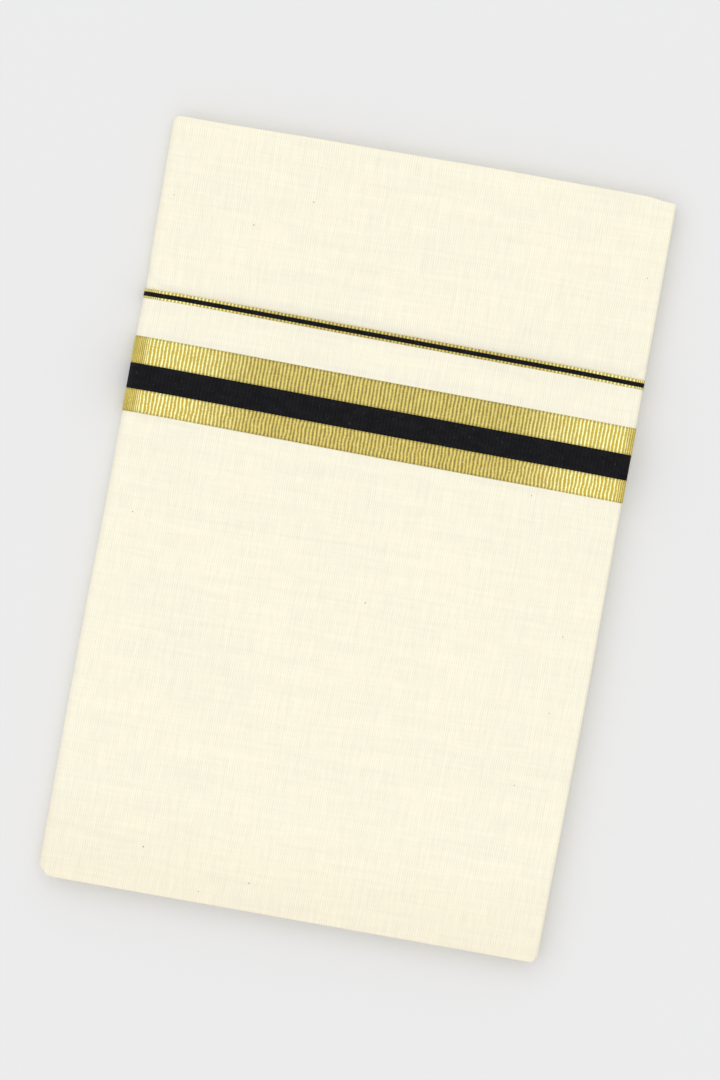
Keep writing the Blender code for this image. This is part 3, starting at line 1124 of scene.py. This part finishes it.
    def faces(self, profile: Profile) -> list[Sequence[int]]:
        """Join each row to the next, and close the shell at both ends of its path.

        Args:
            profile: The shell's profile.

        Returns:
            Point numbers of each face.
        """
        count, total, faces = len(self.along), len(profile.rows), []
        for row in range(total):
            up = ((row + 1) % total - row) * count
            for here in range(row * count, (row + 1) * count - 1):
                faces.append((here, here + 1, here + 1 + up, here + up))
        picks, first = profile.picks, profile.face + profile.rim
        last = first + len(picks)
        inside = list(range(last - 1, first - 1, -1))
        caps = [
            [*range(pick, after + 1), inside[index + 1], inside[index]]
            for index, (pick, after) in enumerate(zip(picks, picks[1:]))
        ]
        if End.TOP in self.folds:
            caps.append([profile.face - 1, *range(profile.face, first), inside[-1]])
        if End.BOTTOM in self.folds:
            caps.append([inside[0], *range(last, total), 0])
        for station, order in ((0, 1), (count - 1, -1)):
            faces += [[row * count + station for row in cap][::order] for cap in caps]
        return faces

    def attributes(self, profile: Profile, low: Array, high: Array,
                   y: Array) -> dict[str, Array]:
        """Work out what the ribs and the finishes read at each point.

        Args:
            profile: The shell's profile.
            low: Y of the lower edge at each station.
            high: Y of the upper edge at each station.
            y: Y of all points, row after row.

        Returns:
            The values of each attribute, by its name.
        """
        path, rounds = self.path, len(profile.rows)
        face = np.repeat([1.0, 0.0], [profile.face, rounds - profile.face])
        x, z = path.place(self.along, low, 0.0)
        deep_x, deep_z = path.place(self.along, low, MM)
        outward = np.stack([(x - deep_x) / MM, np.zeros_like(x), (z - deep_z) / MM], axis=-1)
        folded = self.fold_dulls * path.folded(self.along)
        nearest = np.minimum(self.along - path.starts[2], path.starts[3] - self.along)
        # Where the gold gets its painted highlight: fading in from the top's ends, none in the
        # folds.
        gleam = (1.0 - folded) * (1.0 - smooth_step(*self.glint, nearest))
        shade = np.zeros(len(y))
        for end, edge in zip(End, (low, high)):
            if end in self.shaded:
                shade = np.maximum(shade, self.shade.at(np.abs(y - np.tile(edge, rounds))))
        return {
            "travel": np.tile(path.woven_way(self.along), rounds),
            "lift": np.outer(face, path.on_top(self.along)).ravel(),
            "outward": (face[:, None, None] * outward).reshape(-1, 3),
            "gleam": np.tile(gleam, rounds),
            "folded": np.tile(folded, rounds),
            "near_seam": shade,
            "worn": np.full(len(y), self.worn),
            "rib": np.full(len(y), 0.5),
        }


@dataclass(frozen=True)
class RibWeaver:
    """Geometry nodes that raise the woven ribs of a band.

    Attributes:
        pitch: From one rib to the next along the path.
        height: How far a crest stands above its grooves.
        waver: How far a rib strays from its line.
        seed: Tells the bands' wavering apart.
        mean: The ribs' mean share of the full height.
        uneven: How far their shares differ.
        waver_scale: Cells of the wavering for each metre.
        waver_stretch: How the cells are stretched along X and Y.
        uneven_scale: Cells of the uneven heights for each rib.
    """

    pitch: float = 1.85 * MM
    height: float = 0.22 * MM
    waver: float = 0.12 * MM
    seed: int = 3
    mean: float = 0.9
    uneven: float = 0.18
    waver_scale: float = 90.0
    waver_stretch: tuple[float, float, float] = (1.3, 2.0, 0.0)
    uneven_scale: float = 7.3

    def weave(self, piece: Piece, finish: Material) -> None:
        """Raise the ribs and leave the piece as a plain mesh.

        Args:
            piece: The band's shell.
            finish: The material that the nodes set.
        """
        values = {
            "Rib Pitch": self.pitch, "Rib Height": self.height, "Waver": self.waver,
            "Seed": float(self.seed), "Finish": finish,
        }
        modifier = piece.modifiers.new("ribs", "NODES")
        modifier.node_group = self.tree()
        for item in modifier.node_group.interface.items_tree:
            if item.name in values and item.in_out == "INPUT":
                modifier[item.identifier] = values[item.name]
        settle(piece)

    def tree(self) -> bpy.types.NodeTree:
        """Build the node tree with its named inputs.

        Returns:
            The tree.
        """
        tree = bpy.data.node_groups.new("woven_ribs", "GeometryNodeTree")
        for name, way, kind in (
            ("Geometry", "INPUT", "Geometry"), ("Rib Pitch", "INPUT", "Float"),
            ("Rib Height", "INPUT", "Float"), ("Waver", "INPUT", "Float"),
            ("Seed", "INPUT", "Float"), ("Finish", "INPUT", "Material"),
            ("Geometry", "OUTPUT", "Geometry"),
        ):
            tree.interface.new_socket(name, in_out=way, socket_type="NodeSocket" + kind)
        bench = NodeBench(tree)
        given = bench.add("NodeGroupInput").outputs
        position = bench.add("GeometryNodeInputPosition").outputs[0]
        stretch = {0: position, 1: self.waver_stretch}
        stretched = bench.add("ShaderNodeVectorMath", stretch, operation="MULTIPLY")
        stray = self.noise(bench, stretched, given["Seed"], self.waver_scale)
        stray = bench.math("MULTIPLY", stray, given["Waver"])
        moved = bench.math("ADD", self.read(bench, "travel", "FLOAT"), stray)
        phase = bench.math("DIVIDE", moved, given["Rib Pitch"])
        wave = bench.math("COSINE", bench.math("MULTIPLY", phase, FULL_TURN))
        number = bench.add("ShaderNodeCombineXYZ", {0: bench.math("ROUND", phase)})
        own = self.noise(bench, number, given["Seed"], self.uneven_scale)
        own = bench.math("MULTIPLY_ADD", own, self.uneven, self.mean)
        rib = bench.math("MULTIPLY", bench.math("MULTIPLY_ADD", wave, 0.5, 0.5), own)
        rise = bench.math("MULTIPLY", rib, self.read(bench, "lift", "FLOAT"))
        rise = bench.math("MULTIPLY", rise, given["Rib Height"])
        offset = {0: self.read(bench, "outward", "FLOAT_VECTOR"), "Scale": rise}
        offset = bench.add("ShaderNodeVectorMath", offset, operation="SCALE")
        keep = {"Geometry": given["Geometry"], "Name": "rib", "Value": rib}
        kept = bench.add("GeometryNodeStoreNamedAttribute", keep, data_type="FLOAT")
        move = {"Geometry": kept.outputs[0], "Offset": offset.outputs[0]}
        moved = bench.add("GeometryNodeSetPosition", move)
        realized = bench.add("GeometryNodeRealizeInstances", {0: moved.outputs[0]})
        dress = {"Geometry": realized.outputs[0], "Material": given["Finish"]}
        dressed = bench.add("GeometryNodeSetMaterial", dress)
        bench.add("NodeGroupOutput", {0: dressed.outputs[0]})
        return tree

    def read(self, bench: NodeBench, name: str, kind: str) -> Socket:
        """Read a stored attribute."""
        node = bench.add("GeometryNodeInputNamedAttribute", {"Name": name}, data_type=kind)
        return node.outputs["Attribute"]

    def noise(self, bench: NodeBench, place: bpy.types.Node, seed: Socket,
              scale: float) -> Socket:
        """Add noise.

        Args:
            bench: The tree under construction.
            place: The node that gives the place.
            seed: What tells the patterns apart.
            scale: Cells for each unit of the place.

        Returns:
            The noise, from -1 to 1.
        """
        inputs = {"Vector": place.outputs[0], "W": seed, "Scale": scale, "Detail": 1.0}
        node = bench.add("ShaderNodeTexNoise", noise_dimensions="4D")
        bench.feed(node, inputs)
        return bench.math("MULTIPLY_ADD", node.outputs[0], 2.0, -1.0)


BEADS = RibWeaver(height=0.26 * MM, waver=0.05 * MM, seed=5)


class Band(NamedTuple):
    """One woven stretch of the flap: its names, its border, width, ribs and wear."""

    name: str
    node: str
    slot: str
    border: Border
    width: float
    ribs: RibWeaver | None
    # How far the gold has warm patches, and painted glints as sparkles.
    worn: float = 0.4


@dataclass
class Flap:
    """The front flap: the plain field, the two borders and the strip between.

    Only bands at least least_sheet wide are handed to declare, which keeps
    nothing of them. A ply is the thickness of a band, and a fold that of the field's
    folded edge.
    """

    path: FoldPath
    cotton: Material
    gold: Material
    black: Material
    layers: list[Piece]
    least_sheet: float = 10.0 * MM
    ply: float = 0.35 * MM
    fold: float = 1.0 * MM
    raise_by: float = 0.15 * MM
    rib_step: float = 0.23 * MM
    plain_step: float = 2.0 * MM
    fold_step: float = 0.5 * MM
    row_step: float = 1.5 * MM
    field_rows: int = 118
    inner_rows: int = 8
    field_shade: SeamShade = SeamShade(0.6, 0.0, 5.0 * MM)
    thin_dulls: float = 0.25
    bands: tuple[Band, ...] = (
        Band("selvedge_gold_beads", "thin_border_outer_gold", "gold_thread",
             Border.THIN, 1.35 * MM, BEADS),
        Band("thin_black_line", "thin_border_black", "black_cotton",
             Border.THIN, 2.2 * MM, RibWeaver(height=0.08 * MM, waver=0.05 * MM, seed=5)),
        Band("inner_gold_beads", "thin_border_inner_gold", "gold_thread",
             Border.THIN, 1.0 * MM, BEADS),
        Band("plain_strip", "plain_strip_between_borders", "cream_cotton",
             Border.THIN, 19.85 * MM, None),
        Band("wide_upper_gold", "wide_border_upper_gold", "gold_thread",
             Border.WIDE, 13.45 * MM, RibWeaver(waver=0.35 * MM, seed=11)),
        Band("wide_black", "wide_border_black", "black_cotton",
             Border.WIDE, 12.8 * MM, RibWeaver(height=0.14 * MM, waver=0.14 * MM, seed=12)),
        Band("wide_lower_gold", "wide_border_lower_gold", "gold_thread",
             Border.WIDE, 11.4 * MM, RibWeaver(waver=1.0 * MM, seed=13), worn=0.8),
    )

    def build(self) -> None:
        """Make all pieces of the flap, from the selvedge down."""
        y = self.path.selvedge_y
        for band in self.bands:
            thin = band.border is Border.THIN and band.ribs
            low = self.path.seam(y - band.width, Border.THIN if thin else Border.WIDE)
            piece = self.band(band, low, self.path.seam(y, band.border))
            if band.width < self.least_sheet:
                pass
            else:
                declare(band.width, self.path)
            y -= band.width
        self.plain_field(y)

    def band(self, band: Band, low: Line, high: Line) -> Piece:
        """Make one woven stretch between two seams.

        Args:
            band: What the stretch is.
            low: Its lower seam.
            high: Its upper seam.

        Returns:
            The piece.
        """
        fine, half = self.rib_step, self.rib_step / 2.0
        steps = (fine, half, fine, half, self.plain_step) if band.ribs else self.plain_steps
        piece = Shell(
            band.name, self.path, self.path.stations(steps), low, high,
            max(4, round(band.width / self.row_step) + 1), self.ply, worn=band.worn,
            fold_dulls=self.thin_dulls if band.border is Border.THIN else 1.0,
            raise_by=self.raise_by if band.ribs else 0.0,
            shaded=() if band.ribs else (End.BOTTOM, End.TOP),
        ).build()
        if band.ribs:
            band.ribs.weave(piece, self.gold if band.slot == "gold_thread" else self.black)
        hand_over(piece, band.node, None if band.ribs else self.cotton)
        return piece

    @property
    def plain_steps(self) -> tuple[float, ...]:
        """The longest steps of plain cloth in each stretch of the path."""
        return self.plain_step, self.fold_step, self.plain_step, self.fold_step, self.plain_step

    def plain_field(self, high: float) -> None:
        """Make the plain field from the bottom fold up to the wide border.

        Args:
            high: Y of its upper edge in the middle.
        """
        outline = self.path.outline
        piece = Shell(
            "flap_field", self.path, self.path.stations(self.plain_steps),
            lambda along, x: outline.end(x, End.BOTTOM), self.path.seam(high, Border.WIDE),
            self.field_rows, self.fold, (End.BOTTOM,), self.inner_rows, creased=True,
            shaded=(End.TOP,), shade=self.field_shade,
        ).build()
        hand_over(piece, "front_flap_field", self.cotton)
        declare(high - outline.end_in_middle(End.BOTTOM), self.path)


@dataclass
class PanelBehind:
    """The panel that shows above the flap's selvedge.

    Its tuck under the flap starts to shorten at run_out before the two ends of the
    top, and ends at the two reaches down the folds.
    """

    path: FoldPath
    cotton: Material
    tuck: float = 6.0 * MM
    run_out: float = 1.5 * MM
    right_reach: float = 3.6 * MM
    left_reach: float = 9.0 * MM
    fold: float = 0.8 * MM
    rows: int = 48
    inner_rows: int = 6
    steps: tuple[float, ...] = (2.0 * MM, 0.5 * MM, 2.0 * MM, 0.5 * MM, 2.0 * MM)
    shade: SeamShade = SeamShade(1.2, 8.0 * MM, 12.4 * MM, 5.7 * MM, 7.9 * MM)

    def start(self, along: Array, x: Array) -> Array:
        """Find where the panel starts: under the flap, but level with it low on the folds.

        Args:
            along: The stations along the path.
            x: Their X.

        Returns:
            Y of the panel's lower edge.
        """
        line = self.path.seam(self.path.selvedge_y, Border.THIN)(along, x)
        starts = self.path.starts
        right = (along - starts[2] + self.right_reach) / (self.right_reach + self.run_out)
        left = (starts[3] + self.left_reach - along) / (self.left_reach + self.run_out)
        return line - self.tuck * np.clip(np.minimum(right, left), 0.0, 1.0)

    def build(self) -> None:
        """Make the panel."""
        outline = self.path.outline
        piece = Shell(
            "panel_behind", self.path, self.path.stations(self.steps),
            self.start, lambda along, x: outline.end(x, End.TOP), self.rows, self.fold,
            (End.TOP,), self.inner_rows, creased=True, shaded=(End.BOTTOM,), shade=self.shade,
        ).build()
        hand_over(piece, "panel_behind_flap", self.cotton)
        declare(outline.end_in_middle(End.TOP) - self.path.selvedge_y, self.path)


class Place(NamedTuple):
    """A point of the hidden layers' cross-section.

    In the zones middle and right, level counts panels up from the underside and
    share goes across. In the zone left, level is the distance from the middle
    crease, in panels, and share the turn round the left fold.
    """

    zone: Zone
    level: float
    share: float


class Lobe(NamedTuple):
    """A group of folds at the right edge: two levels, and how far it keeps back in mm."""

    low: float
    high: float
    setback: float


class FoldEdges:
    """The uneven edges of the folds at one end, the same at each run.

    Each fold keeps back and swings within its range in mm. Its waves are in radians
    for each metre.
    """

    keep_back: Pair = (0.1, 1.5)
    swings: Pair = (0.08, 0.3)
    wave_range: Pair = (14.0, 60.0)

    def __init__(self, per_panel: int, panels: int, crease: float, seed: int) -> None:
        """Draw how far each fold keeps back and how its edge ripples.

        Args:
            per_panel: How many folds each panel shows.
            panels: How many panels lie on each other.
            crease: How deep the creases between the folds are.
            seed: Fixes what is drawn.
        """
        self.per_panel, self.count, self.crease = per_panel, panels * per_panel, crease
        random = np.random.default_rng(seed)
        self.base = random.uniform(*self.keep_back, self.count) * MM
        self.swing = random.uniform(*self.swings, (self.count, 2)) * MM
        self.start = random.uniform(0.0, FULL_TURN, (self.count, 2))
        self.waves = random.uniform(*self.wave_range, (self.count, 2))

    def crest(self, index: int, x: float) -> float:
        """Return how far one fold's crest keeps back at X."""
        ripple = self.swing[index] * np.sin(self.start[index] + self.waves[index] * x)
        return float(self.base[index] + ripple.sum())

    def setback(self, level: float, x: float) -> float:
        """Find how far the folds keep back, deeper in the creases.

        Args:
            level: The level, in panels.
            x: X, in metres.

        Returns:
            The setback, in metres.
        """
        position = min(max(level * self.per_panel, 0.0), self.count - 0.001)
        index = int(position + 1e-6)
        inside = position - index
        bulge = math.sqrt(max(0.0, 1.0 - (2.0 * inside - 1.0) ** 2))
        crest = self.crest(index, x)
        if inside < 0.02 and index > 0:
            crest = max(crest, self.crest(index - 1, x))
        return crest + self.crease * (1.0 - bulge)


@dataclass
class HiddenLayers:
    """The layers inside the bundle, with each fold's edge at the two ends.

    Levels count in panels. The layers keep inset from the outer cloth's face, and
    tight more within tight_reach of the selvedge. The outer cloth is tucked into a
    slot at the right edge, between two levels counted from the middle crease, and
    the lobes are the folds under it. The cells are the faces of the cross-section,
    and the rows lie evenly in Y and closer by the selvedge, in mm. Each sway has its
    height in mm and its radians for each metre, and they set in within sway_range.
    """

    flap_path: FoldPath
    behind_path: FoldPath
    cotton: Material
    panels: int = 16
    inset: float = 1.15 * MM
    step: float = 0.125
    columns: int = 72
    left_steps: int = 20
    right_steps: int = 3
    crease: float = 0.45 * MM
    reach: float = 6.75
    slot: Pair = (-0.25, 1.25)
    slot_room: float = 0.3 * MM
    tight: float = 0.9 * MM
    tight_reach: float = 9.0 * MM
    lobes: tuple[Lobe, ...] = (
        Lobe(1.25, 1.5, 1.5), Lobe(1.5, 1.75, 0.9), Lobe(1.75, 2.0, 1.2),
        Lobe(2.0, 4.0, 0.2), Lobe(4.0, 7.75, 0.5),
    )
    seed: int = 29
    even_rows: range = range(-180, 190, 12)
    selvedge_rows: tuple[float, ...] = (-12.0, -8.9, -1.0, 1.0, 8.9, 12.0)
    slow_sway: Pair = (0.30, 52.0)
    quick_sway: Pair = (0.14, 131.0)
    sway_range: Pair = (-118.0 * MM, -100.0 * MM)
    places: list[Place] = field(default_factory=list)
    numbers: dict[Place, int] = field(default_factory=dict)
    cells: list[list[int]] = field(default_factory=list)

    @property
    def middle(self) -> float:
        """The level of the middle crease."""
        return self.panels / 2.0

    def number(self, zone: Zone, level: float, share: float) -> int:
        """Find the number of a place, adding it if it is new.

        Args:
            zone: Its zone.
            level: Its level.
            share: Its share.

        Returns:
            The number, the same for one point in two zones.
        """
        if zone is Zone.LEFT and (level == 0.0 or share in (0.0, 1.0)):
            zone, level, share = Zone.MIDDLE, self.middle + level * (1.0 - 2.0 * share), 0.0
        if zone is Zone.MIDDLE and share == 1.0:
            zone, share = Zone.RIGHT, 0.0
        key = Place(zone, round(level, 4), round(share, 4))
        if key not in self.numbers:
            self.numbers[key] = len(self.places)
            self.places.append(Place(zone, level, share))
        return self.numbers[key]

    def strip(self, zone: Zone, low: float, high: float, steps: int) -> None:
        """Divide the room between two levels into cells that all turn the same way.

        Args:
            zone: The zone.
            low: The lower or inner level.
            high: The upper or outer level.
            steps: How many cells there are.
        """
        for index in range(steps):
            near, far = index / steps, (index + 1) / steps
            corners = [(low, near), (low, far), (high, far), (high, near)]
            if zone is Zone.LEFT:
                corners[1], corners[3] = corners[3], corners[1]
            cell = list(dict.fromkeys(self.number(zone, *corner) for corner in corners))
            if len(cell) > 2:
                self.cells.append(cell)

    def lay_out(self) -> None:
        """Divide the cross-section into cells along its layers."""
        radii = [index * self.step for index in range(round(self.reach / self.step) + 1)]
        below = [self.middle - radius for radius in radii[:0:-1]]
        levels = below + [self.middle + radius for radius in radii]
        for low, high in zip(levels, levels[1:]):
            self.strip(Zone.MIDDLE, low, high, self.columns)
            if high <= self.middle + self.slot[0] or low >= self.middle + self.slot[1]:
                self.strip(Zone.RIGHT, low, high, self.right_steps)
        for inner, outer in zip(radii, radii[1:]):
            self.strip(Zone.LEFT, inner, outer, self.left_steps)

    def points(self, numbers: Sequence[int], y: float) -> Row:
        """Find places of the cross-section.

        Args:
            numbers: The numbers of the places.
            y: Y of the section.

        Returns:
            X and Z of the places.
        """
        selvedge = self.flap_path.selvedge_y
        path = self.behind_path if y > selvedge else self.flap_path
        wrap = float(path.height(np.array(y)))
        left_centre = float(path.left(np.array(y))) + wrap / 2.0
        edge = float(path.outline.side(np.array(y), Side.RIGHT))
        wall = edge - wrap / 4.0 - self.slot_room
        tight = self.inset + (self.tight if abs(y - selvedge) < self.tight_reach else 0.0)
        offsets = (-self.reach, self.slot[0], 0.0, self.slot[1], self.reach)
        knots = [self.middle + offset for offset in offsets]
        heights = (
            self.inset, wrap / 2.0 - self.slot_room, wrap / 2.0, wrap / 2.0 + self.inset,
            wrap - tight,
        )
        xs, levels = [], []
        for zone, level, share in (self.places[number] for number in numbers):
            if zone is Zone.LEFT:
                across, up = path.left_fold.point(math.pi * share)
                span = wrap / 2.0 - self.inset
                xs.append(left_centre - span * level / self.reach * float(across))
                level = self.middle + level * float(up)
            elif zone is Zone.MIDDLE:
                xs.append(left_centre + (wall - left_centre) * share)
            elif share == 0.0:
                xs.append(wall)
            else:
                xs.append(wall + (self.right_edge(level, edge, wrap / 4.0) - wall) * share)
            levels.append(level)
        return np.array(xs), np.interp(levels, knots, heights)

    def right_edge(self, level: float, edge: float, radius: float) -> float:
        """Find the right edge's folds and free ends.

        Args:
            level: The level, in panels.
            edge: X of the outline's edge.
            radius: The radius of the fold round the upper half.

        Returns:
            X of the layers at that level.
        """
        if level > self.middle:
            half = (self.reach - self.slot[1]) / 2.0
            off = (level - self.middle - self.slot[1]) / half - 1.0
            return edge - radius + (radius - self.inset) * self.flap_path.right_fold.swell(off)
        reaches = []
        for lobe in self.lobes:
            if lobe.low - 0.01 <= level <= lobe.high + 0.01:
                half = (lobe.high - lobe.low) / 2.0
                off = (level - (lobe.low + lobe.high) / 2.0) / half
                swell = math.sqrt(max(0.0, 1.0 - off * off))
                reaches.append(edge - lobe.setback * MM - half * MM * (1.0 - swell))
        return min(reaches)

    def sway(self, xs: Array, zs: Array, end: End) -> Array:
        """Find how far the layers rise and dip along an end, least near the outside.

        Args:
            xs: X of the points.
            zs: Z of the points.
            end: Which end.

        Returns:
            What is added to Z.
        """
        full = self.flap_path.stack if end is End.BOTTOM else self.behind_path.top_fold_height
        share = np.clip((zs - self.inset) / (full - 2.0 * self.inset), 0.0, 1.0)
        (slow_height, slow_waves), (quick_height, quick_waves) = self.slow_sway, self.quick_sway
        slow = slow_height * np.sin(xs * slow_waves + end.value + share * 2.5)
        quick = quick_height * np.sin(xs * quick_waves - share * 4.0 + 1.7)
        away_from_fold = smooth_step(*self.sway_range, xs)
        return np.sin(math.pi * share) * away_from_fold * (slow + quick) * MM

    def end_points(self, end: End) -> Array:
        """Find all points of one end, stepped fold by fold.

        Args:
            end: Which end.

        Returns:
            The points.
        """
        bottom = end is End.BOTTOM
        outline = self.flap_path.outline
        xs, zs = self.points(range(len(self.places)), outline.sides[0 if bottom else -1].y * MM)
        zs = zs + self.sway(xs, zs, end)
        seed = self.seed + int(end.value)
        edges = FoldEdges(2 if bottom else 1, self.panels, self.crease, seed)
        ys = outline.end(xs, end)
        for index, (zone, level, share) in enumerate(self.places):
            if zone is Zone.LEFT:
                upper = edges.setback(self.middle + level, float(xs[index]))
                lower = edges.setback(self.middle - level - 1e-4, float(xs[index]))
                back = upper + (lower - upper) * share
            else:
                back = edges.setback(level, float(xs[index]))
            ys[index] -= end.value * back
        return np.stack([xs, ys, zs], axis=-1)

    def build(self) -> Piece:
        """Make the piece: two stepped ends joined by its outside.

        Returns:
            The piece.
        """
        self.lay_out()
        rim = open_edges(self.cells)
        rim_numbers = sorted({number for edge in rim for number in edge})
        near = [self.flap_path.selvedge_y + offset * MM for offset in self.selvedge_rows]
        blocks = [self.end_points(End.BOTTOM)]
        rings = [dict(enumerate(range(len(self.places))))]
        total = len(self.places)
        for y in sorted([y * MM for y in self.even_rows] + near):
            xs, zs = self.points(rim_numbers, y)
            blocks.append(np.stack([xs, np.full_like(xs, y), zs], axis=-1))
            rings.append({number: total + index for index, number in enumerate(rim_numbers)})
            total += len(rim_numbers)
        blocks.append(self.end_points(End.TOP))
        rings.append({number: total + number for number in range(len(self.places))})
        faces = [[rings[0][number] for number in cell] for cell in self.cells]
        faces += [[rings[-1][number] for number in reversed(cell)] for cell in self.cells]
        for one, other in zip(rings, rings[1:]):
            faces += [(one[a], other[a], other[b], one[b]) for a, b in rim]
        points = np.concatenate(blocks)
        maps = np.stack([points[:, 0], points[:, 1] + points[:, 2]], axis=-1)
        piece = make_piece("folded_layers", points, faces, maps)
        hand_over(piece, "hidden_layers", self.cotton)
        return piece


def open_edges(faces: list[list[int]]) -> list[tuple[int, int]]:
    """Return the edges that only one face uses, in that face's direction."""
    directed = {(a, b) for face in faces for a, b in zip(face, face[1:] + face[:1])}
    return [edge for edge in sorted(directed) if (edge[1], edge[0]) not in directed]


@dataclass
class Studio:
    """A pale floor, soft light and the camera straight above.

    The pixel middle of the image falls on outline_middle, and the bundle is turned
    clockwise, in degrees. One pixel has its real size on the bundle's top, and the
    camera is away from that. The window leans to the image's top and left.
    """

    image: tuple[int, int] = (720, 1080)
    middle: Pair = (356.85, 537.57)
    outline_middle: Pair = (0.15 * MM, -0.1 * MM)
    turn: float = 10.3
    pixel: float = 0.497 * MM
    away: float = 3.0
    sensor: float = 36.0
    stack: float = 16.0 * MM
    floor_half: float = 6.0
    floor_depth: float = 0.1 * MM
    floor_color: Color = (0.808, 0.808, 0.813, 1.0)
    room_light: float = 0.79
    window_light: float = 0.81
    window_width: float = 80.0
    window_lean: Pair = (0.11, 0.20)

    def camera(self) -> None:
        """Make the camera straight above, turned as the photograph is."""
        data = bpy.data.cameras.new("overhead")
        data.sensor_fit = "AUTO"
        data.sensor_width = self.sensor
        data.lens = self.sensor * self.away / (self.image[1] * self.pixel)
        data.clip_start, data.clip_end = 0.1, 20.0
        camera = add_object("overhead", data)
        angle = math.radians(self.turn)
        right, down = (
            (size / 2.0 - middle) * self.pixel for size, middle in zip(self.image, self.middle)
        )
        camera.location = (
            self.outline_middle[0] + right * math.cos(angle) + down * math.sin(angle),
            self.outline_middle[1] + right * math.sin(angle) - down * math.cos(angle),
            self.stack + self.away,
        )
        camera.rotation_euler = (0.0, 0.0, angle)
        bpy.context.scene.camera = camera

    def floor(self) -> None:
        """Make the plain pale floor."""
        mesh = bpy.data.meshes.new("floor")
        half, depth = self.floor_half, -self.floor_depth
        corners = ((-half, -half), (half, -half), (half, half), (-half, half))
        mesh.from_pydata([(x, y, depth) for x, y in corners], [], [(0, 1, 2, 3)])
        mesh.materials.append(Shader("pale_floor").finish({
            "Base Color": self.floor_color, "Roughness": 1.0, "Specular IOR Level": 0.0,
        }))
        add_object("floor", mesh)

    def lights(self) -> None:
        """Light the scene with a bright room and one broad light."""
        world = bpy.data.worlds.new("room")
        world.use_nodes = True
        background = world.node_tree.nodes["Background"]
        background.inputs["Color"].default_value = (1.0, 1.0, 1.0, 1.0)
        background.inputs["Strength"].default_value = self.room_light
        bpy.context.scene.world = world
        data = bpy.data.lights.new("window", "SUN")
        data.energy = self.window_light
        data.angle = math.radians(self.window_width)
        angle = math.radians(self.turn)
        image_up = Vector((-math.sin(angle), math.cos(angle), 0.0))
        image_left = Vector((-math.cos(angle), -math.sin(angle), 0.0))
        lean = image_up * self.window_lean[0] + image_left * self.window_lean[1]
        lamp = add_object("window", data)
        lamp.rotation_mode = "QUATERNION"
        lamp.rotation_quaternion = (lean + Vector((0.0, 0.0, 1.0))).to_track_quat("Z", "Y")

    def set_up(self) -> None:
        """Make the camera, the floor and the lights."""
        self.camera()
        self.floor()
        self.lights()
        bpy.context.scene.view_settings.view_transform = "Standard"


def main() -> None:
    """Build every piece in order and report it."""
    logging.basicConfig(level=logging.INFO, format="%(name)s %(message)s")
    stack = float(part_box("front_flap_field")[1][2])
    selvedge = 102.95 * MM
    Studio().set_up()
    outline = Outline()
    flap_path = FoldPath(outline, stack, selvedge)
    behind_path = FoldPath(outline, stack, selvedge, behind=True)
    cotton = CottonFinish("cream_cotton").material(flap_path)
    # The inner layers: the same cotton painted 4% brighter, painted light that lifts the shade
    # between their folds.
    inner = CottonFinish("inner_cotton", flecks=(), painted_lift=1.04).material(flap_path)
    gold = GoldFinish("gold_thread").material()
    black = BlackFinish("black_cotton").material()
    layers = HiddenLayers(flap_path, behind_path, inner).build()
    PanelBehind(behind_path, cotton).build()
    Flap(flap_path, cotton, gold, black, [layers]).build()


if __name__ == "__main__":
    main()
